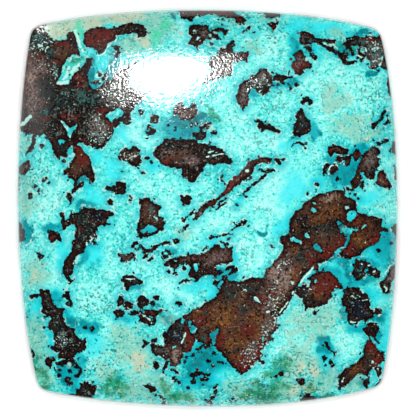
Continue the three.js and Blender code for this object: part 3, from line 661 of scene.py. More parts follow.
# Light veins and cracks filled with white silica: the half width, then the points along it.
PALE_VEINS = [
    (0.11, [(-10.55, 14.1), (-10.3, 13.5), (-10.15, 12.9), (-9.9, 12.5)]),
    (0.13, [(-14.95, 6.55), (-14.5, 6.85), (-14.1, 7.3)]),
    (0.05, [(-11.6, 6.95), (-11.3, 6.5), (-11.05, 6.1), (-10.9, 5.6)]),
    (0.05, [(9.3, 13.12), (9.6, 12.98), (10.1, 12.97), (10.4, 12.66)]),
    (0.05, [(13.3, 12.8), (13.15, 12.65), (13.5, 12.9), (13.65, 12.7)]),
    (0.04, [(-4.63, -0.1), (-4.45, -0.5), (-4.6, -0.8)]),
    (0.04, [(-4.25, -0.7), (-4, -0.8), (-3.95, -1.05), (-4.2, -1.15)]),
    (0.04, [(0.1, 4.4), (0.45, 4.5), (0.75, 4.38)]),
    (0.04, [(0.5, 4.15), (0.9, 4.22), (1.3, 4.3)]),
    (0.04, [(-0.1, 4.05), (0.3, 4.12)]),
    (0.06, [(-9.75, -2.65), (-9.5, -2.95)]),
    (0.05, [(-9.25, -2.3), (-9.1, -2.5), (-9.35, -2.6)]),
    (0.05, [(-10.55, -4.2), (-10.65, -4.45)]),
    (0.05, [(-13.7, -1.3), (-13.85, -2.1), (-14.07, -2.75), (-14.5, -3.05)]),
    (0.05, [(-6.6, -5.6), (-6.2, -5.66), (-5.75, -5.62)]),
    (0.05, [(-5.47, -8.25), (-5, -8.55), (-4.5, -8.9), (-4.42, -9.15)]),
    (0.05, [(-1.73, -9.9), (-1.85, -10.35), (-2.04, -10.75)]),
    (0.08, [(7.4, -5.95), (7.65, -5.55), (8.1, -5.15), (8.45, -4.6)]),
    (0.06, [(6.4, -7.45), (6.15, -7.85)]),
    (0.05, [(6, -8), (5.75, -8.35)]),
    (0.05, [(2.4, -6.1), (2.9, -6.42), (3.15, -6.6)]),
    (0.08, [(3.8, -7.1), (4.05, -7.35), (4.25, -7.55)]),
    (0.04, [(11.5, -7), (12.2, -7.4), (12.8, -7.3)]),
    (0.04, [(11.9, -6.9), (12.3, -7.15)]),
    (0.05, [(11.4, -9.05), (11.8, -9.08)]),
    (0.05, [(13.3, -8.1), (13.35, -8.5), (13.65, -8.6), (13.9, -8.4)]),
    (0.06, [(14.15, -6.25), (14.3, -6.45), (14.25, -6.65)]),
    (0.06, [(14.6, -4.5), (14.3, -5.05), (14, -5.5)]),
    (0.05, [(12.1, -4.35), (12.3, -4.5)]),
    (0.05, [(12.75, -4.6), (12.95, -4.55)]),
    (0.05, [(13.2, -5.1), (13.4, -5)]),
    (0.05, [(13.16, -12.2), (13.2, -12.4)]),
    (0.05, [(10.9, -13.5), (10.75, -13.8)]),
    (0.05, [(-1.05, 13.9), (-1.1, 14.1), (-0.95, 14.15), (-0.9, 13.95)]),
    (0.05, [(-0.8, 13.4), (-0.75, 13.6), (-0.6, 13.5)]),
    (0.05, [(4, 9.5), (4.2, 9.65)]),
    (0.04, [(4.75, 9.85), (4.95, 9.75)]),
    (0.1, [(6.65, -5.9), (6.78, -5.95)]),
    (0.08, [(4.75, -8.25), (4.95, -8.2)]),
    (0.07, [(6.75, -6.8), (6.85, -6.65)]),
    (0.12, [(3.1, 2.94), (3.2, 2.97)]),
    (0.06, [(-2.05, -12), (-1.98, -12.05)]),
    (0.09, [(-13.45, 13), (-13.3, 12.9)]),
    (0.06, [(-12.9, 12.6), (-12.7, 12.85)]),
    (0.05, [(-12.5, 13.3), (-12.3, 13.2)]),
    (0.05, [(0.5, 15.08), (0.62, 15.05)]),
    (0.02, [(9.1, 2.55), (9.13, 3.2), (9.35, 3.6), (9.8, 3.66), (10.2, 3.57), (10.42, 3.25)]),
    (0.045, [(9.62, 2.7), (9.68, 3.1), (9.88, 3.42), (10.1, 3.3)]),
    (0.04, [(10.2, 5.14), (10.5, 5.07), (10.75, 4.87), (11.1, 4.78)]),
    (0.045, [(10.15, 4.2), (10.6, 4.2), (10.85, 4.12), (11.3, 4.27)]),
    (0.04, [(10.2, 4.1), (10.28, 3.78), (10.6, 3.56), (10.82, 3.75), (10.85, 3.5), (11.05, 3.26)]),
    (0.03, [(11.5, 3.95), (11.6, 3.75)]),
    (0.05, [(-11.45, 11.15), (-11.2, 11.5), (-10.85, 11.8), (-10.8, 12)]),
    (0.15, [(-11.85, 9.95), (-11.5, 10), (-11.15, 10)]),
    (0.12, [(-11.45, 10.2), (-11.15, 10.6), (-11, 11.2)]),
    (0.12, [(-10.8, 10.8), (-10.5, 11.2), (-10.15, 11.45)]),
    (0.19, [(-8.7, 10.5), (-8.35, 10.6), (-8.05, 10.45)]),
    (0.13, [(-8.75, 10), (-8.5, 9.95)]),
    (0.04, [(-9.75, 14.1), (-9.45, 14.42), (-8.95, 14.53), (-8.45, 14.53)]),
    (0.045, [(-8.95, 12.15), (-8.5, 12.1), (-8.1, 12.4), (-7.85, 12.95), (-7.4, 13.2), (-7.1, 13.55)]),
    (0.04, [(13.65, 13.1), (13.5, 12.75), (13.35, 12.5)]),
    (0.05, [(13.95, 12), (13.9, 11.6), (13.7, 11.35)]),
    (0.03, [(12.35, 2.95), (12.2, 2.7), (12.3, 2.45)]),
    (0.03, [(12.05, 12.75), (12.3, 12.88), (12.6, 12.75), (12.68, 12.5)]),
    (0.03, [(11.75, 12.3), (12, 12.15), (12.3, 12)]),
    (0.04, [(12.95, 11.35), (13.05, 11.15)]),
    (0.03, [(4.3, 8.9), (4.15, 9.2), (4.4, 9.45)]),
    (0.03, [(3.3, 9.5), (3.15, 9.2)]),
    (0.03, [(2.55, 8.9), (2.8, 8.7)]),
]

# Soft patches of each tone of the ground: x, y, the two radii and, for a turned one, the degrees.
# A zone is full at its middle, half gone on the ellipse and gone at one and a half times its size.
GROUND_ZONES = {
    "bright": [
        (-11.5, -3.6, 0.6, 2.2, 12), (-9.3, -3.8, 0.9, 1.1, 20), (-11.9, -7, 0.5, 0.9, 30),
        (-13.6, -7.8, 0.6, 1), (-10.9, -8.4, 0.6, 0.6), (-9.3, -10.4, 1, 0.7, -30),
        (-12.4, -10.8, 0.45, 1.3), (-10.1, -12.2, 0.5, 0.6), (-10.4, -14, 0.7, 0.9),
        (-8.6, 11.5, 0.7, 1.1), (-7.5, 11.2, 0.4, 0.4), (-9.2, 1, 0.9, 0.9), (-8.8, 3.9, 0.7, 0.7, -40),
        (-4.3, 3.4, 0.7, 0.5), (-6.8, 5.8, 0.6, 0.5), (-6.6, -8.9, 0.9, 0.4), (-4.6, -1.7, 0.7, 0.3),
        (-0.9, -4.6, 0.3, 0.4), (-0.6, -6.1, 1.4, 0.5, 10), (0.5, -6.7, 0.7, 0.8), (0.5, -2.7, 0.9, 0.5),
        (2.2, -3.9, 0.3, 1), (2.5, 0.7, 0.4, 0.4), (6.8, 5.1, 1, 0.5), (8.4, 6, 0.4, 0.6),
        (7.9, 8.8, 0.5, 0.3), (6.9, 14.4, 0.9, 1), (6.7, 13, 0.4, 0.9), (8.8, 12.4, 0.4, 0.8),
        (9.5, 14.4, 2.4, 0.5, -10), (12.3, 12.5, 0.3, 0.4), (12, 4.95, 0.8, 0.3), (10.7, 2.9, 1.3, 1.1),
        (12.8, 0.8, 1.2, 0.7), (8.8, 1.9, 0.8, 0.6), (11.5, -0.6, 0.5, 0.5), (10.9, -2.2, 0.5, 1.3, 20),
        (8.7, -3.15, 0.5, 0.3), (7.1, -2.6, 0.5, 0.2), (11.7, -6, 1.1, 0.4), (13.3, -6.9, 1, 0.6, -40),
        (11.9, -9.5, 0.9, 0.4), (14.3, -10.6, 0.6, 2.4, -5), (9.2, -11.2, 0.6, 1.1, 10),
        (9.6, -12.4, 0.6, 0.5), (1.3, -12.8, 1.1, 0.4, -30), (0.4, -13.5, 1.4, 0.6),
        (-0.7, -12.1, 1.1, 1.2), (-1.4, -13.9, 0.9, 0.6), (13.6, -3.6, 1.2, 1.4),
        (10.4, -5.2, 1.6, 0.7, -20), (-7.6, 3.2, 0.8, 0.9), (6.9, 1.6, 1.2, 1.8, -25),
        (-8.9, -11.3, 1, 0.9), (-8.9, -3.4, 0.9, 1.5, 10), (7.2, -0.6, 0.4, 0.4),
        (5.9, -1.4, 0.6, 1.4, -25), (-1.7, 6.5, 1.6, 0.6), (5.9, 5, 0.5, 0.4)],
    # Paler silica, and round the lamp's reflection a painted glow.
    "pale_and_glow": [
        (-12.8, -4.4, 2.2, 2.4), (-12.6, 0.8, 1.8, 2.2), (5, 12.4, 2, 1.8), (10, 9.4, 3.4, 2.4),
        (-9.1, 12.4, 0.9, 0.4), (-2.1, 14, 0.6, 1.4), (-5.1, -13.3, 0.7, 0.5), (-6.4, -4.8, 2, 0.8),
        (0.4, -1.6, 2.6, 1.6, 20), (3.8, -2.8, 1.8, 2), (8, -9.6, 2.4, 2.4), (-3, -14.1, 0.6, 0.5),
        (-2.6, 0.8, 2.4, 1.6), (4, 5.6, 3.4, 1.6), (5.6, 1.2, 2.6, 2.2, 40), (-8.9, 10.3, 0.5, 0.5),
        (-11, 10.8, 0.5, 0.8, 25), (-8.4, -9.8, 1.4, 1), (-3.2, -6.6, 2, 1.6), (11, -10.8, 1.2, 1.2),
        (13.9, -7.6, 0.6, 0.8), (13.6, 2, 1.2, 2.6), (-8, -12, 1.6, 1.6), (-5.3, -12.2, 1, 0.9),
        (7.2, -12.9, 0.9, 1.3), (11.8, 6.6, 1.6, 1), (1.7, 7.3, 0.9, 1.6), (3.2, 12.6, 1, 1),
        (-5.4, 2.4, 1.1, 0.7), (5.7, -10, 0.7, 1.8, -25), (-9.4, -6.9, 1, 1.2),
        (6.6, -7.6, 0.4, 0.8, -20), (13, 9.6, 1, 1.8), (-14.5, 0.9, 0.6, 1.2), (-1.9, -1, 0.7, 0.5),
        (-5.4, 5.8, 1.6, 1.2), (3.4, 14, 0.8, 0.5)],
    "mint": [
        (-4.15, 13.1, 0.3, 0.8), (-10.2, 13.6, 0.3, 1.3, 10), (-10.4, 11.7, 0.7, 0.4),
        (-2.6, -15, 0.5, 0.4), (5.4, -13.4, 0.7, 0.5), (-7.4, -14.2, 0.6, 0.5), (3.4, -15, 0.6, 0.3),
        (-10.35, 14.4, 0.35, 0.5), (-10.9, 11.3, 0.5, 0.8, 25), (-3.85, 13.8, 0.4, 0.6),
        (-3.4, 14.8, 0.4, 0.7, -15), (-9.9, 14, 0.15, 0.5, 20)],
    "sage": [
        (-4, 14.4, 1.6, 1.5), (-14.3, 1.2, 0.8, 1.8), (-14.3, 5, 0.6, 0.8), (-13.7, -5.2, 1, 1.4),
        (9.7, 8.4, 0.9, 0.8), (7.4, -12.2, 1.3, 1.6), (-6.2, -11, 1.8, 1.6), (3.8, 12.7, 0.6, 0.5),
        (6.4, -14.4, 1.2, 1.2), (-5.2, -14.4, 1.8, 1.4), (9.4, -13.6, 1.4, 1.2), (-1.9, -1.9, 0.9, 0.5),
        (2.8, -14.6, 1.4, 1), (-13, -12.6, 0.9, 1.4), (2, 15, 1.2, 0.4), (-5.8, 13.1, 1.9, 0.9),
        (-11.6, 13.9, 1.6, 0.7, 15), (-7, 14.9, 3, 0.4), (-3.4, -14.2, 0.9, 1), (8.6, -8.9, 2.4, 1.8),
        (-13.7, -10.4, 0.9, 1.8), (11.5, -13.9, 1.4, 0.6, 15), (-6.4, -10.2, 1.4, 1),
        (-5.2, -12.3, 1.2, 1), (7.4, -12.9, 1, 1.2), (12.6, 5.9, 1.2, 0.6), (11.4, 6.6, 1.6, 1.1, 10),
        (10.2, 8.9, 1.3, 0.9, -20), (-3, -8.9, 0.9, 0.5, 10), (-13.2, -13.6, 1, 0.6),
        (8.2, -14.3, 1.4, 0.5, 8), (10.3, 13.9, 0.8, 0.4, -10), (-8.2, -12.9, 0.9, 0.8),
        (-13.2, -13, 0.8, 0.8), (-1.5, -15.2, 0.9, 0.5), (4.9, 15, 0.8, 0.4), (4.6, -13.6, 0.6, 0.5),
        (12.3, -13.6, 0.8, 0.5), (-4.6, -12.2, 0.7, 0.8)],
    "cream": [
        (-11.8, 14.5, 1.5, 0.9, 15), (-5.2, 13.2, 0.7, 0.5), (-12, 13.8, 0.7, 0.6),
        (-12.6, 14.2, 0.9, 0.6, 10), (-5, -12.3, 0.4, 0.35, 20), (7.3, -12.6, 0.3, 0.5),
        (6.6, -14.7, 0.5, 0.4), (12.7, 5.6, 0.4, 0.2, 10), (8.3, -14.4, 0.8, 0.3, 8),
        (-13.9, -5.4, 0.3, 0.5), (8.3, -13, 0.4, 0.5), (-5.5, -12.2, 0.7, 0.8, 25),
        (-9.6, 15.1, 1.6, 1, 8), (-7, 15.6, 2.6, 1), (-10.9, 14.7, 1.3, 1, 10), (6.8, -14.7, 0.6, 0.5)],
    "malachite": [
        (0.3, 7.35, 0.7, 0.4, -35), (-13.6, -12.6, 0.5, 1.2, 10), (-12.9, -14.2, 0.8, 0.4, -8),
        (-7.6, -14.3, 1, 0.9), (-2.6, -15.1, 0.9, 0.6), (4.1, -14.1, 0.9, 0.3, -40),
        (5.9, -12.7, 0.9, 0.9), (-13.2, 12.8, 0.9, 0.5), (-10.4, 11.9, 0.6, 0.3), (5.2, -14.2, 0.5, 0.4),
        (9.3, -15.1, 1, 0.25), (8.1, -15, 0.8, 0.4), (0.6, 14, 0.6, 0.5), (7.1, 5.7, 0.4, 0.15),
        (5.4, 3.85, 0.3, 0.25), (11.2, 12.9, 1.3, 0.6, -15), (13.6, -8.8, 0.4, 0.25),
        (4.4, -15, 1.8, 0.8), (-7.6, -14.2, 1.2, 1), (6, -12.6, 0.9, 1), (0.6, 7.2, 0.5, 0.3, -35),
        (-13.7, -11.8, 0.6, 0.7), (-7.4, -14.7, 0.8, 0.4), (-3.2, -14.2, 0.5, 0.6),
        (-13.2, -13.4, 0.7, 0.5), (8.3, -14.4, 0.7, 0.4), (-9.6, 0.25, 0.6, 0.45),
        (12.8, -5.6, 0.9, 0.5), (6.2, -14.2, 0.5, 0.4), (5.4, -13.4, 0.6, 0.5), (-1.5, -15.2, 0.6, 0.4),
        (4.6, -13.5, 0.4, 0.4)],
    "deep": [
        (-2, 6.2, 1.8, 0.8), (-9.2, 10.5, 0.35, 1.1, 8), (6.6, 10, 0.6, 0.4), (13.2, 10.7, 0.6, 0.3),
        (10.9, 2.8, 1.3, 1), (12.2, 4.3, 0.5, 0.6), (-9.9, 2.3, 0.5, 0.4), (-12.3, -1.5, 0.8, 0.35, -10),
        (-14.4, -1.9, 0.5, 0.9), (-11.9, -7.2, 0.4, 0.6, 30), (-9.4, -9.4, 1, 0.5), (-11, -13, 0.8, 0.8),
        (-6.8, -8.8, 0.6, 0.25), (-5.9, -6.4, 0.6, 0.25), (-0.4, -12, 1.4, 1.2), (-0.8, -13.6, 1.4, 0.6),
        (9.9, -5.2, 1.2, 0.5, -20), (13.9, -3.2, 1, 1.3), (7, 5.5, 0.5, 0.2), (5.4, 9.9, 0.4, 0.2),
        (3.6, 9, 0.3, 0.3), (-2.5, -3.4, 0.35, 0.35), (10.8, -2.2, 0.6, 1.4, 20), (0.4, -10.2, 0.5, 0.7),
        (-1.2, -9.4, 0.4, 0.5), (-4.7, -1.7, 0.7, 0.3), (4.4, -14.25, 0.3, 0.2),
        (-10.5, -14.4, 0.5, 0.6), (8.7, -3.2, 0.5, 0.3), (0.9, -6.5, 0.3, 0.5), (1.2, -5.2, 0.6, 0.35),
        (4.2, -1.9, 0.4, 0.12), (4.85, -1.5, 0.12, 0.5), (8.6, -15.2, 1.2, 0.35, 5),
        (13.4, -10.3, 0.3, 0.4), (13.8, -8.9, 0.5, 0.4), (-7.1, 12.4, 0.4, 0.4), (12.1, 4.4, 0.7, 0.9),
        (-0.4, -11.6, 1, 0.9), (0.8, -12.2, 0.9, 0.5, -35), (1.5, -5.35, 0.9, 0.45),
        (-11, -13.4, 0.9, 0.9), (11.3, 3, 0.8, 1), (-1.6, 6.8, 1.4, 0.6), (6.95, 12.9, 0.4, 0.8),
        (8.75, 5.95, 0.22, 0.22), (9.3, -10.9, 0.35, 0.7, 25), (9.2, -11, 0.4, 0.7, 20),
        (11, 12.5, 0.8, 0.5, -25), (12.5, 13.95, 0.6, 0.3), (-9.8, -3.9, 0.3, 1.3, -30),
        (-10.9, -8.8, 0.3, 1.1, 30), (-7.75, 10.3, 0.4, 0.45), (12.3, 4.5, 0.4, 0.8, -20),
        (11.9, 3.5, 0.35, 0.8, -20), (8.9, -5.2, 0.7, 0.25), (10.9, -4.4, 0.5, 0.6),
        (8.9, -10.4, 0.4, 0.5), (-3.1, -8.7, 0.6, 0.35), (-4, -7.8, 0.5, 0.3), (10.7, -8.5, 0.4, 0.6),
        (12.4, -4.4, 1, 0.5, -20), (8.4, 6, 0.4, 0.6), (11.7, -6, 1, 0.3), (11.9, -9.5, 0.8, 0.3),
        (-10.1, -12.2, 0.4, 0.5), (4.9, 15.1, 0.5, 0.2), (12.5, -13.8, 0.5, 0.3)],
    "teal": [
        (-0.8, 7, 0.7, 0.4), (-9.2, 10.6, 0.25, 0.9, 8), (-0.3, -12, 0.8, 0.8),
        (10.8, -2.3, 0.35, 1.2, 20), (-11.2, -13, 0.5, 0.4), (-2.6, 15.5, 0.3, 0.3),
        (12.15, 4.2, 0.3, 0.5), (0.4, -10.3, 0.3, 0.5), (1.3, -5.4, 0.4, 0.25), (-9.3, -9.4, 0.6, 0.25),
        (6.75, 10, 0.35, 0.25), (-4.7, 6.2, 0.2, 0.3), (13.6, -8.7, 0.3, 0.25),
        (4.85, 6.7, 0.35, 0.15, -25), (7.9, -15, 0.5, 0.25), (5.4, 3.85, 0.25, 0.2),
        (1.5, -5.4, 0.7, 0.35), (12, 4.35, 0.4, 0.6), (-0.6, -12.6, 0.7, 0.6), (-0.2, -10.6, 0.4, 0.4),
        (-1.6, 6.7, 1.2, 0.45), (11.1, 2.8, 0.9, 0.8), (12, 3.7, 0.3, 0.9, -30), (-8.95, 10.2, 0.2, 0.7),
        (-7.7, 10.3, 0.3, 0.25), (8.75, 5.95, 0.14, 0.14), (9.35, -10.7, 0.16, 0.4, 25),
        (10.6, 3.5, 0.7, 0.5), (12.5, 13.95, 0.4, 0.2), (12.3, 4.4, 0.25, 0.6, -20),
        (11.85, 3.5, 0.2, 0.6, -20), (-7.75, 10.3, 0.3, 0.35), (-7.5, 11.3, 0.6, 0.6),
        (9.25, -11, 0.4, 0.7, 20), (8.7, -3.2, 0.5, 0.3), (-9.9, 2.3, 0.4, 0.3), (4.3, -1.9, 0.5, 0.15),
        (-9.6, 0.2, 0.6, 0.4), (12.8, -5.6, 0.6, 0.35), (13.2, 10.7, 0.5, 0.25), (-9.1, -2.7, 0.3, 0.5),
        (-11.1, -9.4, 0.3, 0.5), (-5.2, -8.2, 0.4, 0.3), (10, 3.5, 0.4, 0.4), (10.1, -3.9, 0.4, 0.3),
        (11.4, -5.3, 0.4, 0.4), (-6, -7.7, 0.5, 0.3), (-9.3, -2.5, 0.4, 0.5)],
}

# Soft patches of each tone inside the matrix.
MATRIX_ZONES = {
    "umber": [
        (1.6, -8.6, 3.4, 2.2, 30), (3.2, -10.6, 2.2, 2.2, 50), (6, -5.2, 1.4, 3.4, -32),
        (9.2, 0.4, 2.6, 1.2, 15), (12.2, -2.2, 1.8, 1.2), (9, -2.8, 2, 1.2), (0.8, -3.8, 1.4, 0.8, 10),
        (-13.8, 10, 1.4, 3), (-8.6, 13.5, 1.3, 0.7), (-10.3, 3.7, 0.9, 1.2), (9.2, -6.2, 1.4, 1.4),
        (13.3, -11.6, 0.8, 1.2), (12, -12.9, 1, 0.5, 45), (-2.2, 4, 1.6, 0.6), (2.2, 2.2, 2.4, 0.5, 48),
        (13.4, 12.3, 1.2, 1.2), (0.2, 15.7, 2.2, 0.5), (7.4, 11.7, 0.9, 1.1), (-4.6, -0.6, 0.9, 1),
        (1.4, 11.6, 1.2, 1.2), (-1.2, -8.8, 1.2, 0.8, 30), (-6.1, 4.1, 0.9, 0.5), (-11.4, 12.4, 1, 0.8),
        (4.5, 3.75, 0.9, 0.2), (-1.8, 7.6, 0.9, 0.5), (-1.4, -10.8, 0.5, 1), (14.1, 2.1, 0.5, 0.7),
        (8.2, -5.8, 0.6, 0.5), (12, 2.6, 0.4, 0.9, -25)],
    "rust": [
        (11.9, -1.1, 1.1, 0.35, -20), (2.6, -7, 0.5, 0.4), (5.2, -7.2, 0.9, 0.7, 30),
        (7, -3.2, 0.5, 0.4), (7, -5.4, 0.6, 0.8), (13.1, 3.7, 0.25, 0.25), (12.9, 13.5, 0.5, 0.2, 10),
        (8.6, -6.7, 0.6, 0.6), (12, -12.85, 0.5, 0.5, 40), (10.5, 4.45, 0.25, 0.15),
        (0.6, 3.62, 0.3, 0.12), (7.6, -6, 0.3, 0.2), (6.9, -1.5, 0.4, 0.3), (12.1, -2.6, 0.7, 0.5, -30),
        (5.4, -7.4, 0.8, 0.9, -30), (5, -9.6, 0.4, 1.2, -25), (13.15, 3.75, 0.2, 0.3),
        (-0.9, -8.3, 0.7, 0.4, 30), (2.4, -11.9, 0.6, 0.5), (1.2, -8.8, 1.4, 1.1, 25),
        (4.2, -8.7, 0.9, 0.9), (2.2, -10.6, 1.2, 0.7), (4.2, -10.2, 0.6, 0.7), (9.4, -0.7, 1.5, 0.7, 15),
        (9.6, 0.7, 0.6, 0.3)],
    "oxblood": [
        (10.5, -2.8, 0.6, 0.6), (13.3, -2.4, 0.6, 0.5), (9.6, -3.4, 0.8, 0.5), (0.9, -10.6, 0.6, 0.5),
        (-1.5, -10.6, 0.35, 0.9), (9.6, -5.9, 0.9, 0.8), (-8.7, 13.5, 1.3, 0.8), (-14, 10.4, 0.5, 2),
        (-10.2, 10, 0.5, 0.8, -10), (-12, 11.5, 0.5, 0.15), (-11, 7.4, 0.8, 0.3), (-12.7, 7, 0.4, 0.2),
        (-11.6, 12.9, 0.6, 0.35), (-13.2, 12.1, 0.6, 0.2), (-8, 9.6, 0.4, 0.2),
        (-9.4, 5.1, 0.8, 0.2, -15), (-3.3, 3.7, 0.4, 0.25), (-4.2, -8.25, 1, 0.25),
        (-10.2, -1.6, 0.25, 0.25), (-9.3, -0.9, 0.3, 0.25), (-12.3, -2.45, 0.35, 0.2),
        (-10, 4.2, 0.5, 0.7, 20), (-10.35, 1.6, 0.5, 0.15, 40), (13.2, -11.1, 0.5, 0.4),
        (13.6, -12, 0.5, 0.5), (5.2, 14.55, 0.5, 0.3), (0.6, 15.7, 2.4, 0.3), (2.65, 14.9, 0.4, 0.3),
        (11.6, -0.9, 0.6, 0.3), (1.6, 1.6, 1.6, 0.25, 48), (4.4, 3.85, 0.8, 0.12),
        (-4.6, -3.4, 0.4, 0.12, 30), (4.9, -7, 1, 0.4, 30), (11.2, -3.4, 0.6, 0.4, 20),
        (2.6, -12.6, 0.6, 0.4), (-0.3, -13.65, 0.3, 0.15), (-3.3, -12.7, 0.15, 0.4, 20),
        (7.3, 11.4, 0.6, 0.3), (3, 12.1, 0.4, 0.15), (-11.55, -0.55, 0.2, 0.2), (-13.8, -7, 0.3, 0.12),
        (8.2, -4.2, 0.5, 0.5), (14.05, 2.3, 0.2, 0.6, 20), (11.8, 4.25, 0.3, 0.3), (9.9, 4.55, 0.2, 0.3),
        (-7.8, 6.7, 0.5, 0.35), (-8.3, 7.6, 0.5, 0.25), (12.95, 13.4, 0.6, 0.2),
        (3.6, -11.6, 0.8, 0.9, -30), (3, -12.4, 0.7, 0.5, 40), (9.4, -6.3, 0.9, 0.8),
        (3.3, -9.6, 0.8, 0.65), (-0.5, -8.9, 0.5, 0.3, 20)],
    "navy": [
        (-2.6, -10.2, 0.6, 0.7), (12.2, -8.1, 0.7, 0.7), (-5.2, -7.4, 0.3, 0.35), (-8.5, -0.7, 0.6, 0.4),
        (-12.9, 7.6, 0.5, 0.3), (-5.9, -5.9, 0.5, 0.2), (-4.6, -14.3, 0.5, 0.3), (-14.9, -1.7, 0.3, 0.6),
        (-0.7, 5.75, 0.5, 0.25), (12, -5.2, 0.3, 0.4), (4.5, 10.1, 0.4, 0.4), (7.5, 6.4, 0.3, 0.3),
        (7.9, -0.8, 0.3, 0.3)],
    "char": [
        (-11.6, 8.6, 1.3, 1), (-10, -0.8, 0.9, 0.5), (-9.7, -1.9, 0.6, 0.6), (-9.4, 0, 0.8, 0.2),
        (1.9, -6.7, 0.9, 0.6, -20), (8.9, -1.7, 1.5, 0.3), (7.3, -3.9, 0.5, 0.8), (7.4, 6.6, 0.5, 0.8),
        (2.4, -11.2, 0.3, 0.3), (-12.1, -9, 0.6, 1, 20), (4.4, 9.9, 0.5, 0.5), (-12.3, -1.95, 0.3, 0.12),
        (13.3, 12.7, 0.4, 0.3), (12.1, 3.6, 0.4, 0.7, -30), (-12.4, -7.4, 0.5, 0.7),
        (7.7, -6.8, 0.4, 0.6), (-5.6, 14.3, 0.7, 0.3), (-0.2, 14.2, 0.4, 0.3), (12.75, -12.1, 0.25, 0.7),
        (2.8, -8.1, 0.4, 0.3), (-11.6, 5, 0.8, 0.7), (-14.1, 7.6, 0.8, 0.7), (-9.8, -14.5, 0.6, 0.5),
        (-14, 5, 0.3, 0.6, -20), (-13.8, 13.4, 0.6, 0.8), (12.6, -4.7, 0.8, 0.4), (0.6, 4.5, 0.8, 0.2),
        (7.5, -6.7, 0.5, 0.5), (8.4, -5.3, 0.4, 0.25), (3.2, -6.5, 1.1, 0.3, -12),
        (-12.7, 9.3, 0.9, 1.3), (2.8, -8.2, 0.35, 0.4), (13.2, 3.1, 0.2, 0.3)],
    # Ash grey with pale grains: in part the matrix's own tone, in part a painted grey sheen and glints
    # where soft reflections fall.
    "ash_and_sheen": [
        (5.6, -4.9, 1, 1.6, -38), (3.7, -11.4, 0.6, 0.8), (4.4, 10.6, 0.4, 0.25), (-7.2, 9, 1.5, 1),
        (-6.6, 10.4, 0.8, 0.8), (-14, 8.8, 0.7, 2.2), (-13.6, 11.3, 0.9, 0.9), (-1.8, 7.6, 1, 0.5),
        (-6.4, -3.95, 0.6, 0.25), (7.2, 11.6, 0.6, 0.8), (13.4, 11.6, 0.5, 0.4), (14.3, 11.9, 0.3, 0.9),
        (-3.1, 4.5, 0.7, 0.4), (0.8, -3.8, 1, 0.6), (-1.3, -4.1, 1.2, 0.2, 10), (-2.6, -11.6, 0.5, 0.7),
        (2.3, 2.2, 1.5, 0.25, 48), (14.6, -5.3, 0.5, 0.5), (-0.6, -0.4, 0.6, 0.5, 50),
        (-0.1, 13.4, 0.7, 1), (-1, 3.8, 0.8, 0.4), (5, -9.4, 0.4, 0.9, -30), (2.9, 3, 1.4, 0.4, 48),
        (13.4, 12.3, 0.8, 0.9), (14, 2.2, 0.3, 0.5, 20), (-14.6, 3.3, 0.3, 0.5), (7.6, 13.6, 0.3, 0.4),
        (-3.4, -11.2, 0.6, 0.4), (4.9, -7.6, 0.5, 1, -30), (-2.45, -11.7, 0.7, 1),
        (4.9, -9.7, 0.5, 1.3, -25), (12.9, 3.8, 0.6, 1, -15), (2.8, 8.6, 0.5, 0.7),
        (4.2, 10.2, 0.8, 0.6), (2.9, 9.2, 0.6, 0.6), (-13.4, 14.4, 0.7, 0.5), (-8.7, 6.5, 1, 0.9),
        (1.7, 11.5, 0.7, 0.6)],
    "verdigris": [
        (-10, 9, 0.7, 0.6), (-9.3, 8.8, 0.7, 0.7), (-9.3, 9.8, 0.35, 0.7), (13.4, 12.4, 1, 0.9),
        (12.5, 13.2, 0.7, 0.5), (13.6, 11.3, 0.6, 0.4), (11.7, 13.3, 0.5, 0.4), (12.4, 4.5, 0.4, 0.4),
        (-0.3, -10.3, 0.5, 0.4), (-3.7, -11.2, 0.5, 0.5), (-1.9, -9.3, 0.3, 0.5),
        (8.9, 12.9, 0.5, 0.2, -20), (7.6, 13.2, 0.5, 0.4), (12.4, -5, 0.6, 0.5), (-4.1, -0.5, 0.4, 0.8),
        (-12.4, 12.2, 0.6, 0.4), (-13.4, 13.6, 0.6, 0.4), (-11.9, 10.9, 0.3, 0.5),
        (12, 12.9, 0.9, 0.4, -10), (8.6, 13.4, 0.7, 0.3, -20), (13.5, 12, 0.6, 0.5),
        (-13, 7.8, 0.3, 0.4)],
    "clay": [
        (-2.45, -11.8, 0.6, 0.9), (6.1, -5.9, 0.8, 1.1, -38), (5.3, -5, 0.5, 0.8, -38),
        (2.3, 13, 0.3, 0.3), (-14, 10.4, 0.4, 0.8), (9.8, 0.9, 0.9, 0.3, 10)],
}
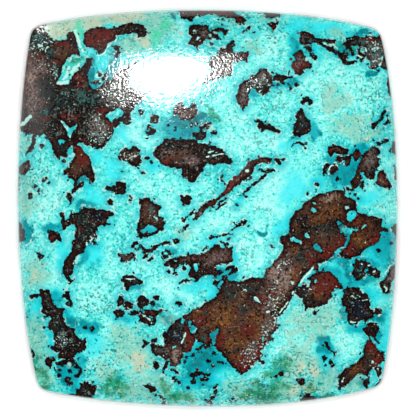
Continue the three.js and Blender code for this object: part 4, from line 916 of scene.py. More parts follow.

# Where fine dark grit is scattered through the ground, and where pale specks are strewn: white silica in
# part, and round the lamp's reflection painted glints.
GRIT_ZONES = [
    (-8.4, -11.6, 1.6, 2.2), (-13.6, 13.2, 0.9, 0.7), (6, 14, 1.6, 1), (4, -14.8, 2.2, 0.9),
    (-2, -12.6, 0.9, 1.4), (13.2, 8.4, 1, 2.2), (7.4, -13.4, 1.4, 1.8), (-13.4, 2.4, 1, 1.8),
    (0.6, -15, 1.4, 0.7), (8.6, -14.6, 2, 0.7, 8), (-1.2, 6.9, 1.6, 0.7), (11.6, 12.8, 1.4, 0.7, -10),
    (1, 14.2, 1, 0.8), (6.2, 9.6, 0.9, 0.6), (-3.4, -3.8, 0.9, 0.7), (-9, -7.6, 1.6, 1),
]
SPECKLE_AND_GLINT_ZONES = [
    (-13.4, 13, 1, 0.7, 20), (3.1, -15, 0.6, 0.4), (-13.4, 11.35, 0.4, 0.4), (-12.5, 11, 0.6, 0.8),
    (-8.6, 6.8, 0.5, 0.7), (-0.3, 6.6, 0.9, 0.4), (4.2, -11.2, 0.6, 1.4, -25), (-7.2, 9.2, 1.4, 1),
    (1.5, 11.6, 1.1, 1.1), (13.3, -12.6, 0.4, 0.4), (-11.4, -10.6, 0.8, 0.6), (-9.3, -2.7, 0.5, 0.3),
    (-8.4, 5.7, 1, 0.8), (-6.1, 4.1, 0.8, 0.5), (-6.6, 10.5, 0.7, 0.6), (5.2, -8.6, 0.4, 1.2, -22),
    (3.2, -12.4, 0.6, 0.4), (8.2, -6.2, 0.5, 0.4), (13.4, 12, 0.7, 0.8), (4.9, -9.7, 0.4, 1.2, -25),
    (3.5, -12.3, 0.8, 0.4, 40), (5.2, -5.9, 0.5, 0.4), (6.2, -4.2, 0.4, 0.7, -38),
    (5.4, -7.2, 0.9, 0.8, -30), (4, 9.9, 0.9, 0.7), (13.4, 12.9, 0.6, 0.6), (8, -6, 0.4, 0.35),
    (3.6, -11.6, 0.8, 0.9, -30), (-13.4, 14.4, 0.6, 0.4),
]

ZONES = {**GROUND_ZONES, **MATRIX_ZONES, "grit": GRIT_ZONES, "speckle_and_glint": SPECKLE_AND_GLINT_ZONES}

# ---- Where each mineral lies, worked out at every point of the surface ----

REACH = 1.5  # how far from a mark its distance is worked out
NO_STEP = 1e-9  # keeps a path that stays where it starts from a division by nil
MARK_GAIN = 0.03  # added to the smallest marks, which the mesh would otherwise round away
ZONE_FADE = 1.5  # a zone is gone at this many times its size
WALL_WARP = 1.4  # how far the pattern drifts between the dome's foot and the back
# Waves that shift a place along x and then along y, two of them each: how far a wave shifts it, the
# wave's turns along x and along y, in radians to a millimetre, and where it starts.
WALL_WAVES = [
    [(1, 0, 0.41, 0.6), (0.4, 1.13, 0, 2.0)],
    [(1, 0.37, 0, 2.1), (0.4, 0, 1.07, 0.4)]]
ZONE_WAVES = [
    [(0.16, 1.1, 2.3, 0), (0.10, -3.1, 5.3, 1.0)],
    [(0.16, 2.1, -1.3, 2.0), (0.10, 5.9, 2.7, 0)]]


def waved(places, waves):
    """How far the waves shift each place."""
    x, y = places.T
    return np.column_stack([
        sum(far * np.sin(x_turn * x + y_turn * y + start) for far, x_turn, y_turn, start in pair)
        for pair in waves])


def pattern_places(plan, height):
    """Where each point of the surface reads the pattern, which runs down through the slab aslant."""
    depth = np.clip(WALL_TOP - height, 0, None)[:, None]
    drift = WALL_WARP * waved(plan, WALL_WAVES)
    return plan * (1 - depth / HALF_WIDTH) + drift * depth / WALL_TOP


def near(places, points):
    """The rows of the places within reach of the box round some points."""
    low, high = np.min(points, axis=0) - REACH, np.max(points, axis=0) + REACH
    return np.flatnonzero(((places > low) & (places < high)).all(axis=1))


def distance_to_path(places, points):
    """The distance from each place to a path of straight steps."""
    best = np.full(len(places), np.inf)
    for start, end in zip(np.array(points[:-1], float), np.array(points[1:], float)):
        step = end - start
        share = np.clip(((places - start) @ step) / max(step @ step, NO_STEP), 0, 1)
        best = np.minimum(best, np.hypot(*(places - start - share[:, None] * step).T))
    return best


def is_inside(places, outline):
    """Whether each place lies inside a closed outline, by counting the sides it would cross."""
    x, y = places.T
    inside = np.zeros(len(places), bool)
    for (ax, ay), (bx, by) in zip(outline, outline[1:] + outline[:1]):
        if ay != by:
            inside ^= ((ay > y) != (by > y)) & (x < ax + (bx - ax) * (y - ay) / (by - ay))
    return inside


def depth_in_outline(places, outline):
    """How deep each place is inside an outline, negative outside it."""
    distance = distance_to_path(places, outline + outline[:1])
    return np.where(is_inside(places, outline), distance, -distance)


def depth_in_strand(places, half_width, points):
    """How deep each place is inside a strand along a path, negative beside it."""
    return half_width - distance_to_path(places, points)


GRAIN_STRANDS = [(radius, [(x, y), (x, y)]) for x, y, radius in GRAINS]  # they end where they start


def matrix_depth(places):
    """How deep each place is inside the matrix, negative in the ground round it."""
    depth = np.full(len(places), -REACH)
    for outline in MATRIX_PATCHES.values():
        rows = near(places, outline)
        depth[rows] = np.maximum(depth[rows], depth_in_outline(places[rows], outline))
    for outline in WINDOWS:
        rows = near(places, outline)
        depth[rows] = np.minimum(depth[rows], -depth_in_outline(places[rows], outline))
    for half_width, points in STRANDS + GRAIN_STRANDS:
        rows = near(places, points)
        inside = depth_in_strand(places[rows], half_width + MARK_GAIN, points)
        depth[rows] = np.maximum(depth[rows], inside)
    return depth


def vein_depth(places):
    """How deep each place is inside a pale vein, negative beside it and in grains that stand in it."""
    depth = np.full(len(places), -REACH)
    for half_width, points in PALE_VEINS:
        rows = near(places, points)
        depth[rows] = np.maximum(depth[rows], depth_in_strand(places[rows], half_width, points))
    for radius, points in GRAIN_STRANDS:
        rows = near(places, points)
        depth[rows] = np.minimum(depth[rows], -depth_in_strand(places[rows], radius, points))
    return depth


def zone_share(places, zones):
    """From 1 in the middle of a soft zone, through a half on its ellipse, to 0 well outside.

    Waves shift the places first, so that no zone keeps the smooth outline of an ellipse.
    """
    places = places + waved(places, ZONE_WAVES)
    share = np.zeros(len(places))
    for x, y, wide, high, *turn in zones:
        angle = math.radians(turn[0] if turn else 0)
        dx, dy = (places - (x, y)).T
        along = (dx * math.cos(angle) + dy * math.sin(angle)) / wide
        across = (dy * math.cos(angle) - dx * math.sin(angle)) / high
        share = np.maximum(share, np.clip(ZONE_FADE - np.hypot(along, across), 0, 1))
    return share


def set_field(mesh, name, values):
    """Gives the mesh an attribute that the finish reads by its name."""
    field = mesh.attributes.new(name, "FLOAT", "POINT")
    field.data.foreach_set("value", values.astype(np.float32))


# Where the parts lie in the UV map, as shares of its side: the dome fills a square at the lower left,
# the four walls are strips above it, and the back is a smaller square beside it.
UV_MARGIN = 0.005
UV_DOME = 0.70
UV_STRIP, UV_STRIP_STEP = 0.055, 0.065
UV_BACK = 0.28
UV_BACK_HALF_SPAN = 17.0  # half of what the back's square takes in, in millimetres


def lay_out(mesh, u, v, level, plan):
    """Gives the mesh its UV map, which a bake of the finish uses."""
    corner_point = np.empty(len(mesh.loops), np.int32)
    mesh.loops.foreach_get("vertex_index", corner_point)
    first_corner, corner_count = np.empty((2, len(mesh.polygons)), np.int32)
    mesh.polygons.foreach_get("loop_start", first_corner)
    mesh.polygons.foreach_get("loop_total", corner_count)
    face = np.repeat(np.arange(len(mesh.polygons)), corner_count)
    u, v, level, plan = (values[corner_point] for values in (u, v, level, plan))
    middle_u = (np.add.reduceat(u, first_corner) / corner_count)[face]
    middle_v = (np.add.reduceat(v, first_corner) / corner_count)[face]
    lowest = np.minimum.reduceat(level, first_corner)[face]
    # How far down the wall each row lies, as a share of its whole depth along the surface.
    down = np.concatenate([[0], np.cumsum(np.hypot(*np.diff(WALL_ROWS, axis=0).T))])
    depth = np.interp(-level, np.arange(len(WALL_ROWS)), down / down[-1])
    # The right, left, top and bottom walls each take a strip, and none of them is mirrored in it.
    on_side = np.abs(middle_u) > np.abs(middle_v)
    along = np.where(on_side, np.sign(middle_u) * v, -np.sign(middle_v) * u)
    strip = np.where(on_side, np.where(middle_u > 0, 0, 1), np.where(middle_v > 0, 2, 3))
    dome = UV_MARGIN + np.stack([u + 1, v + 1], axis=1) / 2 * UV_DOME
    wall = np.stack([
        UV_MARGIN + (along + 1) / 2 * UV_DOME,
        UV_DOME + 3 * UV_MARGIN + strip * UV_STRIP_STEP + (1 - depth) * UV_STRIP], axis=1)
    back = plan / UV_BACK_HALF_SPAN
    back = np.stack([
        1 - UV_MARGIN - (back[:, 0] + 1) / 2 * UV_BACK,
        UV_MARGIN + (back[:, 1] + 1) / 2 * UV_BACK], axis=1)
    # Only the faces of the back reach a level below the wall's rows, and only the dome's stay on top.
    is_back = (lowest < -len(WALL_ROWS) + 0.5)[:, None]
    is_dome = (lowest > -0.5)[:, None]
    unfolded = np.where(is_back, back, np.where(is_dome, dome, wall))
    layer = mesh.uv_layers.new(name="OFBake")
    layer.uv.foreach_set("vector", unfolded.astype(np.float32).ravel())


def shape_stone(mesh):
    """Moves the shell's points to their places on the stone and gives each point its fields."""
    flat = np.empty(len(mesh.vertices) * 3, np.float32)
    mesh.vertices.foreach_get("co", flat)
    u, v, level = flat.reshape(-1, 3).astype(float).T
    rows = WALL_ROWS + [(BACK_INSET, 0.0)]
    row = np.clip(np.round(-level), 0, len(rows) - 1).astype(int)
    inset, height = np.array(rows)[row].T
    plan = cushion_points(u, v)
    on_dome = row == 0
    plan *= (1 - inset / HALF_WIDTH)[:, None]
    height = height + np.where(on_dome, dome_height(u, v), 0)
    mesh.vertices.foreach_set("co", (np.column_stack([plan, height]) * MM).ravel())
    places = pattern_places(plan, height)
    set_field(mesh, "matrix", matrix_depth(places))
    set_field(mesh, "vein", vein_depth(places))
    for name, zones in ZONES.items():
        set_field(mesh, name, zone_share(places, zones))
    lay_out(mesh, u, v, level, plan)
    mesh.update()


# ---- The finish ----

# A Mix node holds sockets for every kind of value: these are its factor, and those for numbers and
# for colours.
FACTOR = 0
NUMBER_A, NUMBER_B = 2, 3
COLOUR_A, COLOUR_B, MIXED_COLOUR = 6, 7, 2


def linear(hex_colour):
    """An sRGB hex colour as linear RGBA."""
    channels = [int(hex_colour[at:at + 2], 16) / 255 for at in (1, 3, 5)]
    return [c / 12.92 if c <= 0.04045 else ((c + 0.055) / 1.055) ** 2.4 for c in channels] + [1.0]


def add(tree, kind, settings=(), links=()):
    """Adds a node with its settings; each link gives an input a number or another node's output."""
    node = tree.nodes.new(kind)
    for name, value in dict(settings).items():
        setattr(node, name, value)
    for socket, value in dict(links).items():
        if isinstance(value, bpy.types.NodeSocket):
            tree.links.new(value, node.inputs[socket])
        else:
            node.inputs[socket].default_value = value
    return node


def new_material(name):
    """An empty material with its node tree and the place of each point in its object's coordinates."""
    material = bpy.data.materials.new(name)
    material.use_nodes = True
    tree = material.node_tree
    tree.nodes.clear()
    return material, tree, add(tree, "ShaderNodeTexCoord").outputs["Object"]


def weighted_sum(tree, sources, terms):
    """The sum of some sources, each times its weight and measured from its middle value."""
    total = 0.0
    for name, weight, middle in terms:
        centred = add(tree, "ShaderNodeMath", {"operation": "SUBTRACT"}, {
            0: sources[name], 1: middle})
        total = add(tree, "ShaderNodeMath", {"operation": "MULTIPLY_ADD"}, {
            0: centred.outputs[0], 1: weight, 2: total}).outputs[0]
    return total


def share_of(tree, sources, terms, start, whole, most=1.0, within=()):
    """A share that rises smoothly from nil to the most as a sum goes from start to whole.

    It is held within the shares that are named.
    """
    share = add(tree, "ShaderNodeMapRange", {"interpolation_type": "SMOOTHSTEP"}, {
        "Value": weighted_sum(tree, sources, terms),
        "From Min": start, "From Max": whole, "To Max": most}).outputs[0]
    for name in within:
        share = add(tree, "ShaderNodeMath", {"operation": "MULTIPLY"}, {
            0: share, 1: sources[name]}).outputs[0]
    return share


def laid_over(tree, sources, colour, layers):
    """A colour with others laid over it, each in its own share."""
    for tone, *share in layers:
        colour = add(tree, "ShaderNodeMix", {"data_type": "RGBA"}, {
            FACTOR: share_of(tree, sources, *share),
            COLOUR_A: colour, COLOUR_B: linear(tone)}).outputs[MIXED_COLOUR]
    return colour


# The noises that break up every boundary: features per millimetre, detail and roughness. Grit and
# grain in the stone are 0.02 to 0.1 mm; the finest here is about 0.17 mm, drawn that coarse because
# anything finer would be lost in the render.
NOISES = {
    "grain": (6.0, 1.0, 0.6),
    "fleck": (3.2, 1.5, 0.6),
    "mottle": (1.2, 3.0, 0.65),
    "cloud": (0.42, 2.0, 0.5),
    "islet": (1.9, 2.0, 0.55),
    "dust": (5.0, 0.5, 0.5),
    "tint": (2.6, 1.0, 0.5),
    "swirl": (0.9, 2.0, 0.6),
    "gap": (1.4, 1.0, 0.5),
}
CELLS_PER_MM = 3.0  # the matrix is packed of grains about a third of a millimetre across
TWISTS_PER_MM, TWIST_DETAIL = 1.6, 2.0
TWIST_REACH = 0.9  # the most that the twist moves a grain, in millimetres
DOME_POWER = 2.0  # a grain of matrix is worn to a low dome, highest at its middle
SEAM_START, SEAM_WHOLE = 0.14, 0.01  # the distance from a grain's edge, in shares of a grain

# Sums of sources, each source with its weight and middle value. Where numbers follow, the sum is made
# a share: it starts and is whole at the first two, the third is its greatest value, and it is held
# within the shares named last.
EFFECTS = [
    # Single grains of matrix stand just outside its edge.
    ("fringe", [("matrix", 1, 0)], -0.50, -0.20),
    ("kernel", [("round", 1, 0)], 0.46, 0.34),
    ("stray", [("cell", 1, 0)], 0.88, 0.90, 1.0, ["fringe", "kernel"]),
    # The matrix's depth: its edge is made ragged by its grains and by two sizes of noise.
    ("depth", [("matrix", 1, 0), ("fleck", 0.26, 0.5), ("islet", 0.18, 0.5), ("grain", 0.26, 0.5),
               ("round", -0.16, 0.42), ("stray", 0.45, 0)]),
    ("in_matrix", [("depth", 1, 0)], -0.07, 0.0),
    # Copper has bled into the silica beside the matrix.
    ("stained", [("mottle", 1, 0)], 0.34, 0.58),
    ("halo", [("depth", 1, 0)], -0.80, -0.02, 0.9, ["stained"]),
    # The stained and the brightest silica is more even than the rest.
    ("calm", [("halo", 1, 0), ("bright", 1, 0)], 0.0, 1.0, 0.45),
    # Hair cracks follow the contours of a slow swirl, each with a pale lip on one side.
    ("unhealed", [("gap", 1, 0), ("calm", -0.4, 0)], 0.47, 0.60),
    ("crack_side", [("swirl", 1, 0)], 0.470, 0.492),
    ("crack", [("swirl", 1, 0)], 0.530, 0.508, 1.0, ["crack_side", "unhealed"]),
    ("lip_side", [("swirl", 1, 0)], 0.508, 0.530),
    ("lip", [("swirl", 1, 0)], 0.568, 0.546, 1.0, ["lip_side", "unhealed"]),
    # Tones of the ground that lie in clumps rather than as a wash.
    ("in_cream", [("cream", 1, 0)], 0.0, 0.4),
    ("in_sage", [("sage", 1, 0)], 0.0, 0.4),
    ("in_mint", [("mint", 1, 0)], 0.0, 0.4),
    ("in_malachite", [("malachite", 1, 0)], 0.0, 0.4),
    ("vein_body", [("vein", 1, 0), ("fleck", 0.25, 0.5)], -0.04, 0.03),
    # The grainy parts of the matrix glitter; the rest takes a smooth polish.
    ("glitter", [("speckle_and_glint", 0.8, 0), ("ash_and_sheen", 0.4, 0)], 0.0, 1.0, 0.8, ["in_matrix"]),
]

# What lightens and darkens the ground, slowly and finely, and the shades from dark to light.
GROUND_LIGHT = [
    ("cloud", 0.40, 0.5), ("mottle", 0.80, 0.5), ("pale_and_glow", 0.15, 0), ("bright", -0.05, 0),
    ("deep", -0.32, 0), ("teal", -0.45, 0), ("halo", -0.16, 0), ("cream", 0.10, 0)]
GROUND_TEXTURE = [("fleck", 0.75, 0.5), ("grain", 0.8, 0.5)]
GROUND_MIDDLE = 0.54
GROUND_SHADES = [
    (0.04, "#034A53"), (0.18, "#09757E"), (0.30, "#1CA0A2"), (0.42, "#36BEB8"), (0.54, "#58D0C9"),
    (0.68, "#76D8CF"), (0.92, "#A2DDD7")]

# Each layer is a colour and its share, written as the effects are.
GROUND_LAYERS = [
    ("#1FCBD2", [("bright", 1, 0), ("mottle", 2.4, 0.5)], 0.20, 1.10, 0.80, ["bright"]),
    ("#7AA890", [("sage", 1, 0), ("mottle", 2.4, 0.5), ("fleck", 1.6, 0.5)], 0.20, 1.05, 0.65,
     ["in_sage"]),
    ("#AEB499", [("cream", 1, 0), ("mottle", 1.2, 0.5), ("fleck", 1.6, 0.5)], 0.20, 1.10, 0.85,
     ["in_cream"]),
    ("#38BE94", [("mint", 1, 0), ("mottle", 1.6, 0.5), ("fleck", 2.4, 0.5)], 0.35, 0.90, 0.80,
     ["in_mint"]),
    ("#1C804E", [("malachite", 1, 0), ("mottle", 2.0, 0.5), ("islet", 1.6, 0.5)], 0.25, 1.10, 0.80,
     ["in_malachite"]),
    ("#0F5538", [("malachite", 0.8, 0), ("fleck", 2.6, 0.5), ("islet", 1.6, 0.5)], 0.60, 1.15, 0.75,
     ["in_malachite"]),
    ("#00777E", [("deep", 0.7, 0), ("teal", 1, 0), ("mottle", 1.6, 0.5)], 0.20, 1.00, 0.90),
    ("#0C595B", [("teal", 1, 0), ("fleck", 2.4, 0.5), ("islet", 1.6, 0.5)], 0.50, 1.25, 0.75,
     ["teal"]),
    ("#00A0AC", [("halo", 1, 0), ("cream", -0.8, 0), ("sage", -0.3, 0)], 0.0, 1.0, 0.65),
    # Crystals too fine to tell apart make every tone a little uneven.
    ("#167F79", [("fleck", -1, 0.5), ("grain", -0.8, 0.5), ("calm", -0.2, 0)], 0.10, 0.34, 0.55),
    ("#A9E2DA", [("fleck", 1, 0.5), ("grain", 0.8, 0.5), ("calm", -0.3, 0), ("deep", -0.1, 0)],
     0.10, 0.34, 0.50),
    ("#1D7A70", [("crack", 1, 0)], 0.0, 1.0, 0.60),
    ("#BFE0DA", [("lip", 1, 0)], 0.0, 1.0, 0.25),
    # Fine specks of dark silicate, thickest in the gritty parts.
    ("#11645D", [("dust", 1, 0), ("grit", 0.12, 0), ("bright", -0.05, 0)], 0.67, 0.78, 0.8),
    # White silica that crusts the edge of the matrix here and there.
    ("#A6D0C6", [("depth", 1, 0), ("islet", 1.6, 0.5), ("bright", -0.1, 0), ("deep", -0.3, 0)],
     -0.09, 0.03, 0.60),
]
MATRIX = "#060505"
MATRIX_LAYERS = [
    ("#1C1816", [("cell", 1, 0)], 0.30, 0.85, 0.9),
    ("#3D251B", [("umber", 1, 0), ("mottle", 1.6, 0.5)], 0.05, 0.70, 0.95, ["umber"]),
    ("#293130", [("tint", 1, 0), ("umber", -0.02, 0)], 0.56, 0.66, 0.6),
    ("#523425", [("grain", 1, 0), ("umber", 0.03, 0)], 0.57, 0.67, 0.6),
    ("#4B2817", [("rust", 1, 0), ("mottle", 1.6, 0.5)], 0.10, 0.70, 0.85, ["rust"]),
    ("#3D3C1E", [("fleck", 3.0, 0.5), ("umber", 0.3, 0), ("rust", 0.3, 0)], 0.55, 0.95, 0.70,
     ["umber"]),
    ("#7E4B1F", [("rust", 0.5, 0), ("umber", 0.1, 0), ("grain", 3.0, 0.5)], 0.45, 1.00, 0.85,
     ["umber"]),
    ("#511A14", [("oxblood", 1, 0), ("mottle", 1.6, 0.5)], 0.10, 0.70, 0.9, ["oxblood"]),
    ("#6A5850", [("fleck", -3.0, 0.5), ("umber", 0.25, 0), ("ash_and_sheen", 0.2, 0)], 0.50, 0.95, 0.50,
     ["umber"]),
    ("#1D2725", [("char", 1, 0), ("cell", 1, 0.5)], 0.20, 0.80, 0.85, ["char"]),
    ("#131A27", [("navy", 1, 0), ("cell", 0.8, 0.5)], 0.20, 0.75, 0.85, ["navy"]),
    # Ash grey and its pale grains, in part a painted grey sheen and glints of soft reflections.
    ("#463835", [("ash_and_sheen", 1, 0), ("mottle", 1.6, 0.5)], 0.10, 0.80, 0.85, ["ash_and_sheen"]),
    ("#7A6762", [("ash_and_sheen", 0.7, 0), ("grain", 3.2, 0.5)], 0.60, 1.05, 0.7, ["ash_and_sheen"]),
    ("#7F6C60", [("clay", 1, 0), ("fleck", 2.4, 0.5), ("grain", 1.6, 0.5)], 0.30, 1.10, 0.80,
     ["clay"]),
    ("#2A524F", [("verdigris", 1, 0), ("mottle", 1.6, 0.5), ("fleck", 3.2, 0.5)], 0.40, 1.00, 0.80,
     ["verdigris"]),
    # Black specks, and grey-green ones of silicate caught in the matrix; the grey-green ones are a
    # little thicker where pale specks and painted glints are strewn.
    ("#050404", [("dust", 1, 0), ("umber", -0.06, 0)], 0.52, 0.60, 0.85),
    ("#5E7F76", [("grain", -1, 0.5), ("islet", 0.4, 0.5), ("umber", -0.08, 0), ("speckle_and_glint", 0.05, 0)],
     0.13, 0.21, 0.75),
    # Paler seams run between some of the grains, more of them where pale specks and painted glints are
    # strewn.
    ("#75857E", [("seam", 1, 0), ("tint", 4, 0.5), ("speckle_and_glint", 0.25, 0), ("umber", -0.3, 0)],
     1.32, 1.70, 0.6),
    # Inside its edge the matrix is dark red, brighter where iron stains it; the edge itself is black.
    ("#300E0A", [("depth", -1, 0.26), ("islet", 0.7, 0.5)], -0.06, 0.06, 0.6),
    ("#5A1A13", [("depth", -1, 0.30), ("islet", 0.7, 0.5)], -0.06, 0.06, 0.7, ["oxblood"]),
    ("#050404", [("depth", 1, 0), ("grain", 0.4, 0.5), ("umber", 0.06, 0), ("ash_and_sheen", 0.10, 0)],
     0.22, 0.07, 0.94),
]
# Pale grains and the white veins lie over ground and matrix alike. The grains are thicker where pale
# specks are strewn, and round the lamp's reflection these are painted glints.
LAST_LAYERS = [
    ("#A5BDB5", [("grain", 1, 0), ("speckle_and_glint", 0.15, 0)], 0.72, 0.79, 1.0),
    ("#A8D6CC", [("vein_body", 1, 0), ("islet", 0.6, 0.5)], 0.35, 0.95, 0.9),
]

POLISH = 0.13  # roughness
STONE_IOR = 1.54  # of the quartz that binds the stone
RELIEF_MM = 0.016  # how deep the polish leaves its softest grains
GROUND_RELIEF = [("fleck", 1.0, 0.5), ("grain", 0.5, 0.5)]
GRAIN_RELIEF = [("dome", -1.3, 0), ("grain", 0.9, 0.5)]


def polished_shattuckite():
    """Shattuckite and chrysocolla in iron-stained matrix, lapped and polished.

    The silica that binds them takes a glassy polish, so the eye sees a clear bright reflection over
    a pattern that lies just under it; the softer matrix is worn a little lower and glitters.
    """
    material, tree, place = new_material("shattuckite_polished")
    sources = {
        name: add(tree, "ShaderNodeAttribute", {"attribute_name": name}).outputs["Fac"]
        for name in ["matrix", "vein", *ZONES]}
    for name, (per_mm, detail, roughness) in NOISES.items():
        noise = add(tree, "ShaderNodeTexNoise", {}, {
            "Vector": place, "Scale": per_mm / MM, "Detail": detail, "Roughness": roughness})
        sources[name] = noise.outputs["Fac"]
    # Grains are seen through a slow twist, so that none of their sides is straight.
    twist = add(tree, "ShaderNodeTexNoise", {}, {
        "Vector": place, "Scale": TWISTS_PER_MM / MM, "Detail": TWIST_DETAIL})
    twisted = add(tree, "ShaderNodeVectorMath", {"operation": "MULTIPLY_ADD"}, {
        0: twist.outputs["Color"], 1: [TWIST_REACH * MM] * 3, 2: place}).outputs[0]
    grains = add(tree, "ShaderNodeTexVoronoi", {}, {"Vector": twisted, "Scale": CELLS_PER_MM / MM})
    gaps = add(tree, "ShaderNodeTexVoronoi", {"feature": "DISTANCE_TO_EDGE"}, {
        "Vector": twisted, "Scale": CELLS_PER_MM / MM}).outputs["Distance"]
    # A grain has a number of its own, a distance from its middle, a worn top and a seam round it.
    sources["cell"] = add(tree, "ShaderNodeSeparateColor", {}, {0: grains.outputs["Color"]}).outputs[0]
    sources["round"] = grains.outputs["Distance"]
    sources["dome"] = add(tree, "ShaderNodeMath", {"operation": "POWER"}, {
        0: grains.outputs["Distance"], 1: DOME_POWER}).outputs[0]
    sources["seam"] = add(tree, "ShaderNodeMapRange", {"interpolation_type": "SMOOTHSTEP"}, {
        "Value": gaps, "From Min": SEAM_START, "From Max": SEAM_WHOLE}).outputs[0]
    for name, *effect in EFFECTS:
        made = share_of if len(effect) > 1 else weighted_sum
        sources[name] = made(tree, sources, *effect)

    # The ground is lighter where silica clouds it and where a glow is painted round the lamp's
    # reflection, and deeper where copper is rich.
    slow = add(tree, "ShaderNodeMath", {"operation": "ADD"}, {
        0: weighted_sum(tree, sources, GROUND_LIGHT), 1: GROUND_MIDDLE})
    fine = add(tree, "ShaderNodeMath", {"operation": "SUBTRACT"}, {0: 1.0, 1: sources["calm"]})
    light = add(tree, "ShaderNodeMath", {"operation": "MULTIPLY_ADD"}, {
        0: weighted_sum(tree, sources, GROUND_TEXTURE), 1: fine.outputs[0], 2: slow.outputs[0]})
    shades = add(tree, "ShaderNodeValToRGB", {}, {0: light.outputs[0]})
    ramp = shades.color_ramp  # it starts with two elements
    for at, _ in GROUND_SHADES[2:]:
        ramp.elements.new(at)
    for element, (at, tone) in zip(ramp.elements, GROUND_SHADES):
        element.position = at
        element.color = linear(tone)
    ground = laid_over(tree, sources, shades.outputs[0], GROUND_LAYERS)
    matrix = laid_over(tree, sources, linear(MATRIX), MATRIX_LAYERS)
    both = add(tree, "ShaderNodeMix", {"data_type": "RGBA"}, {
        FACTOR: sources["in_matrix"], COLOUR_A: ground, COLOUR_B: matrix})
    colour = laid_over(tree, sources, both.outputs[MIXED_COLOUR], LAST_LAYERS)

    relief = add(tree, "ShaderNodeMix", {"data_type": "FLOAT"}, {
        FACTOR: sources["glitter"],
        NUMBER_A: weighted_sum(tree, sources, GROUND_RELIEF),
        NUMBER_B: weighted_sum(tree, sources, GRAIN_RELIEF)})
    bump = add(tree, "ShaderNodeBump", {}, {
        "Strength": 1.0, "Distance": RELIEF_MM * MM, "Height": relief.outputs[0]})
    shader = add(tree, "ShaderNodeBsdfPrincipled", {}, {
        "Base Color": colour, "Roughness": POLISH, "IOR": STONE_IOR, "Normal": bump.outputs[0]})
    add(tree, "ShaderNodeOutputMaterial", {}, {"Surface": shader.outputs[0]})
    return material


mesh = stone_mesh()
shape_stone(mesh)
mesh.shade_smooth()
mesh.materials.append(polished_shattuckite())
stone = bpy.data.objects.new("polished_stone", mesh)
bpy.context.collection.objects.link(stone)
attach(stone, "root")
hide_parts("shattuckite_cabochon")


# ---- Floor, camera and light ----

FLOOR_HALF = 400.0
PAPER_TONES = "#F4F4F3", "#F7F7F6"
TOOTH_PER_MM, TOOTH_DETAIL = 2.0, 2.0  # the paper's fibres
PAPER_ROUGHNESS, PAPER_IOR = 0.9, 1.45


def matt_paper():
    """Plain matt paper, which gives the eye a clean pale ground and a soft shadow."""
    material, tree, place = new_material("paper_matt_white")
    tooth = add(tree, "ShaderNodeTexNoise", {}, {
        "Vector": place, "Scale": TOOTH_PER_MM / MM, "Detail": TOOTH_DETAIL})
    darker, lighter = PAPER_TONES
    tone = add(tree, "ShaderNodeMix", {"data_type": "RGBA"}, {
        FACTOR: tooth.outputs["Fac"], COLOUR_A: linear(darker), COLOUR_B: linear(lighter)})
    shader = add(tree, "ShaderNodeBsdfPrincipled", {}, {
        "Base Color": tone.outputs[MIXED_COLOUR], "Roughness": PAPER_ROUGHNESS, "IOR": PAPER_IOR})
    add(tree, "ShaderNodeOutputMaterial", {}, {"Surface": shader.outputs[0]})
    return material


floor_mesh = bpy.data.meshes.new("floor")
floor_bm = bmesh.new()
bmesh.ops.create_grid(floor_bm, x_segments=1, y_segments=1, size=FLOOR_HALF * MM)
floor_bm.to_mesh(floor_mesh)
floor_bm.free()
floor_mesh.materials.append(matt_paper())
floor = bpy.data.objects.new("floor", floor_mesh)
bpy.context.collection.objects.link(floor)

FRAME_WIDTH = 33.28  # what the camera takes in at the stone's girdle
FRAME_CENTRE = 0.064  # the camera stands over this x, in millimetres
LENS = 600.0
SENSOR = 36.0
GIRDLE = 0.45  # the height at which the stone is widest
CLIP_END_M = 10.0

camera_data = bpy.data.cameras.new("camera")
camera_data.lens = LENS
camera_data.sensor_width = SENSOR
camera_distance = FRAME_WIDTH * LENS / SENSOR + GIRDLE
camera_data.clip_end = CLIP_END_M
camera = bpy.data.objects.new("camera", camera_data)
camera.location = (FRAME_CENTRE * MM, 0, camera_distance * MM)
bpy.context.collection.objects.link(camera)
bpy.context.scene.camera = camera


def area_light(name, at, towards, size, watts):
    """A rectangular soft light in millimetres, aimed at a point."""
    light = bpy.data.lights.new(name, "AREA")
    light.shape = "RECTANGLE"
    light.size, light.size_y = size[0] * MM, size[1] * MM
    light.energy = watts
    lamp = bpy.data.objects.new(name, light)
    lamp.location = Vector(at) * MM
    lamp.rotation_euler = (Vector(towards) - Vector(at)).to_track_quat("-Z", "Y").to_euler()
    bpy.context.collection.objects.link(lamp)
    return lamp


# Four broad lights stand well out to the sides, so that none of them shows in the dome.
SOFT_OUT, SOFT_UP, SOFT_SIZE, SOFT_WATTS = 170.0, 480.0, (340.0, 220.0), 1.095
for index, (side_x, side_y) in enumerate([(1, 0), (-1, 0), (0, 1), (0, -1)]):
    soft_at = (side_x * SOFT_OUT, side_y * SOFT_OUT, SOFT_UP)
    soft = area_light(f"soft_light_{index}", soft_at, (0, 0, 0), SOFT_SIZE, SOFT_WATTS)
    soft.visible_glossy = False

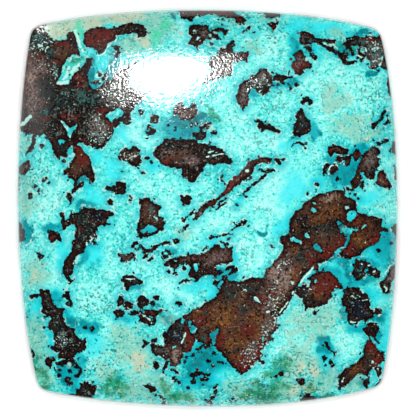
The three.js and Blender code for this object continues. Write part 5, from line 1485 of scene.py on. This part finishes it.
# A dim card low on the left lends the stone's upper left a soft grey sheen. Three sheets of growing
# size make it, so that its edge is feathered.
CARD_AT, CARD_SIZE, CARD_WATTS = (-420, 290, 190), (520.0, 300.0), 0.85
CARD_SPREADS = [0.6, 1.0, 1.4]
CARD_STEP = 0.02  # each sheet stands this much further out than the last
for index, spread in enumerate(CARD_SPREADS):
    sheet_at = [along * (1 + CARD_STEP * index) for along in CARD_AT]
    sheet_size = [side * spread for side in CARD_SIZE]
    sheet_watts = CARD_WATTS * spread ** 2 / len(CARD_SPREADS)
    sheet = area_light(f"sheen_card_{index}", sheet_at, (0, 0, 0), sheet_size, sheet_watts)
    sheet.visible_diffuse = False

# One small bright lamp stands where the dome mirrors it: its reflection is centred on this point.
GLINT = (-3.3, 10.6)
LAMP_DISTANCE = 300.0
LAMP_SIZE = (98.0, 62.0)
LAMP_TURN = math.radians(30)
LAMP_WATTS = 1.2


def surface_near(mesh, x, y):
    """The dome's point nearest to a place in plan, and its normal."""
    def miss(vert):
        # Taking off the height puts the dome before the back where both lie under the same place.
        return (vert.co.x / MM - x) ** 2 + (vert.co.y / MM - y) ** 2 - vert.co.z

    best = min(mesh.vertices, key=miss)
    return best.co.copy(), best.normal.copy()


spot, normal = surface_near(mesh, *GLINT)
to_camera = (camera.location - spot).normalized()
to_lamp = (2 * normal.dot(to_camera) * normal - to_camera).normalized()
lamp_at = spot / MM + to_lamp * LAMP_DISTANCE
key = area_light("key_light", lamp_at, spot / MM, LAMP_SIZE, LAMP_WATTS)
key.data.shape = "ELLIPSE"
key.rotation_euler.rotate_axis("Z", LAMP_TURN)
key.visible_diffuse = False

ROOM_LIGHT = 0.045  # a little light from all round, so that no shadow is quite black
world = bpy.data.worlds.new("studio")
world.use_nodes = True
backdrop = world.node_tree.nodes["Background"]
backdrop.inputs["Color"].default_value = (1, 1, 1, 1)
backdrop.inputs["Strength"].default_value = ROOM_LIGHT
bpy.context.scene.world = world
bpy.context.scene.view_settings.view_transform = "Standard"
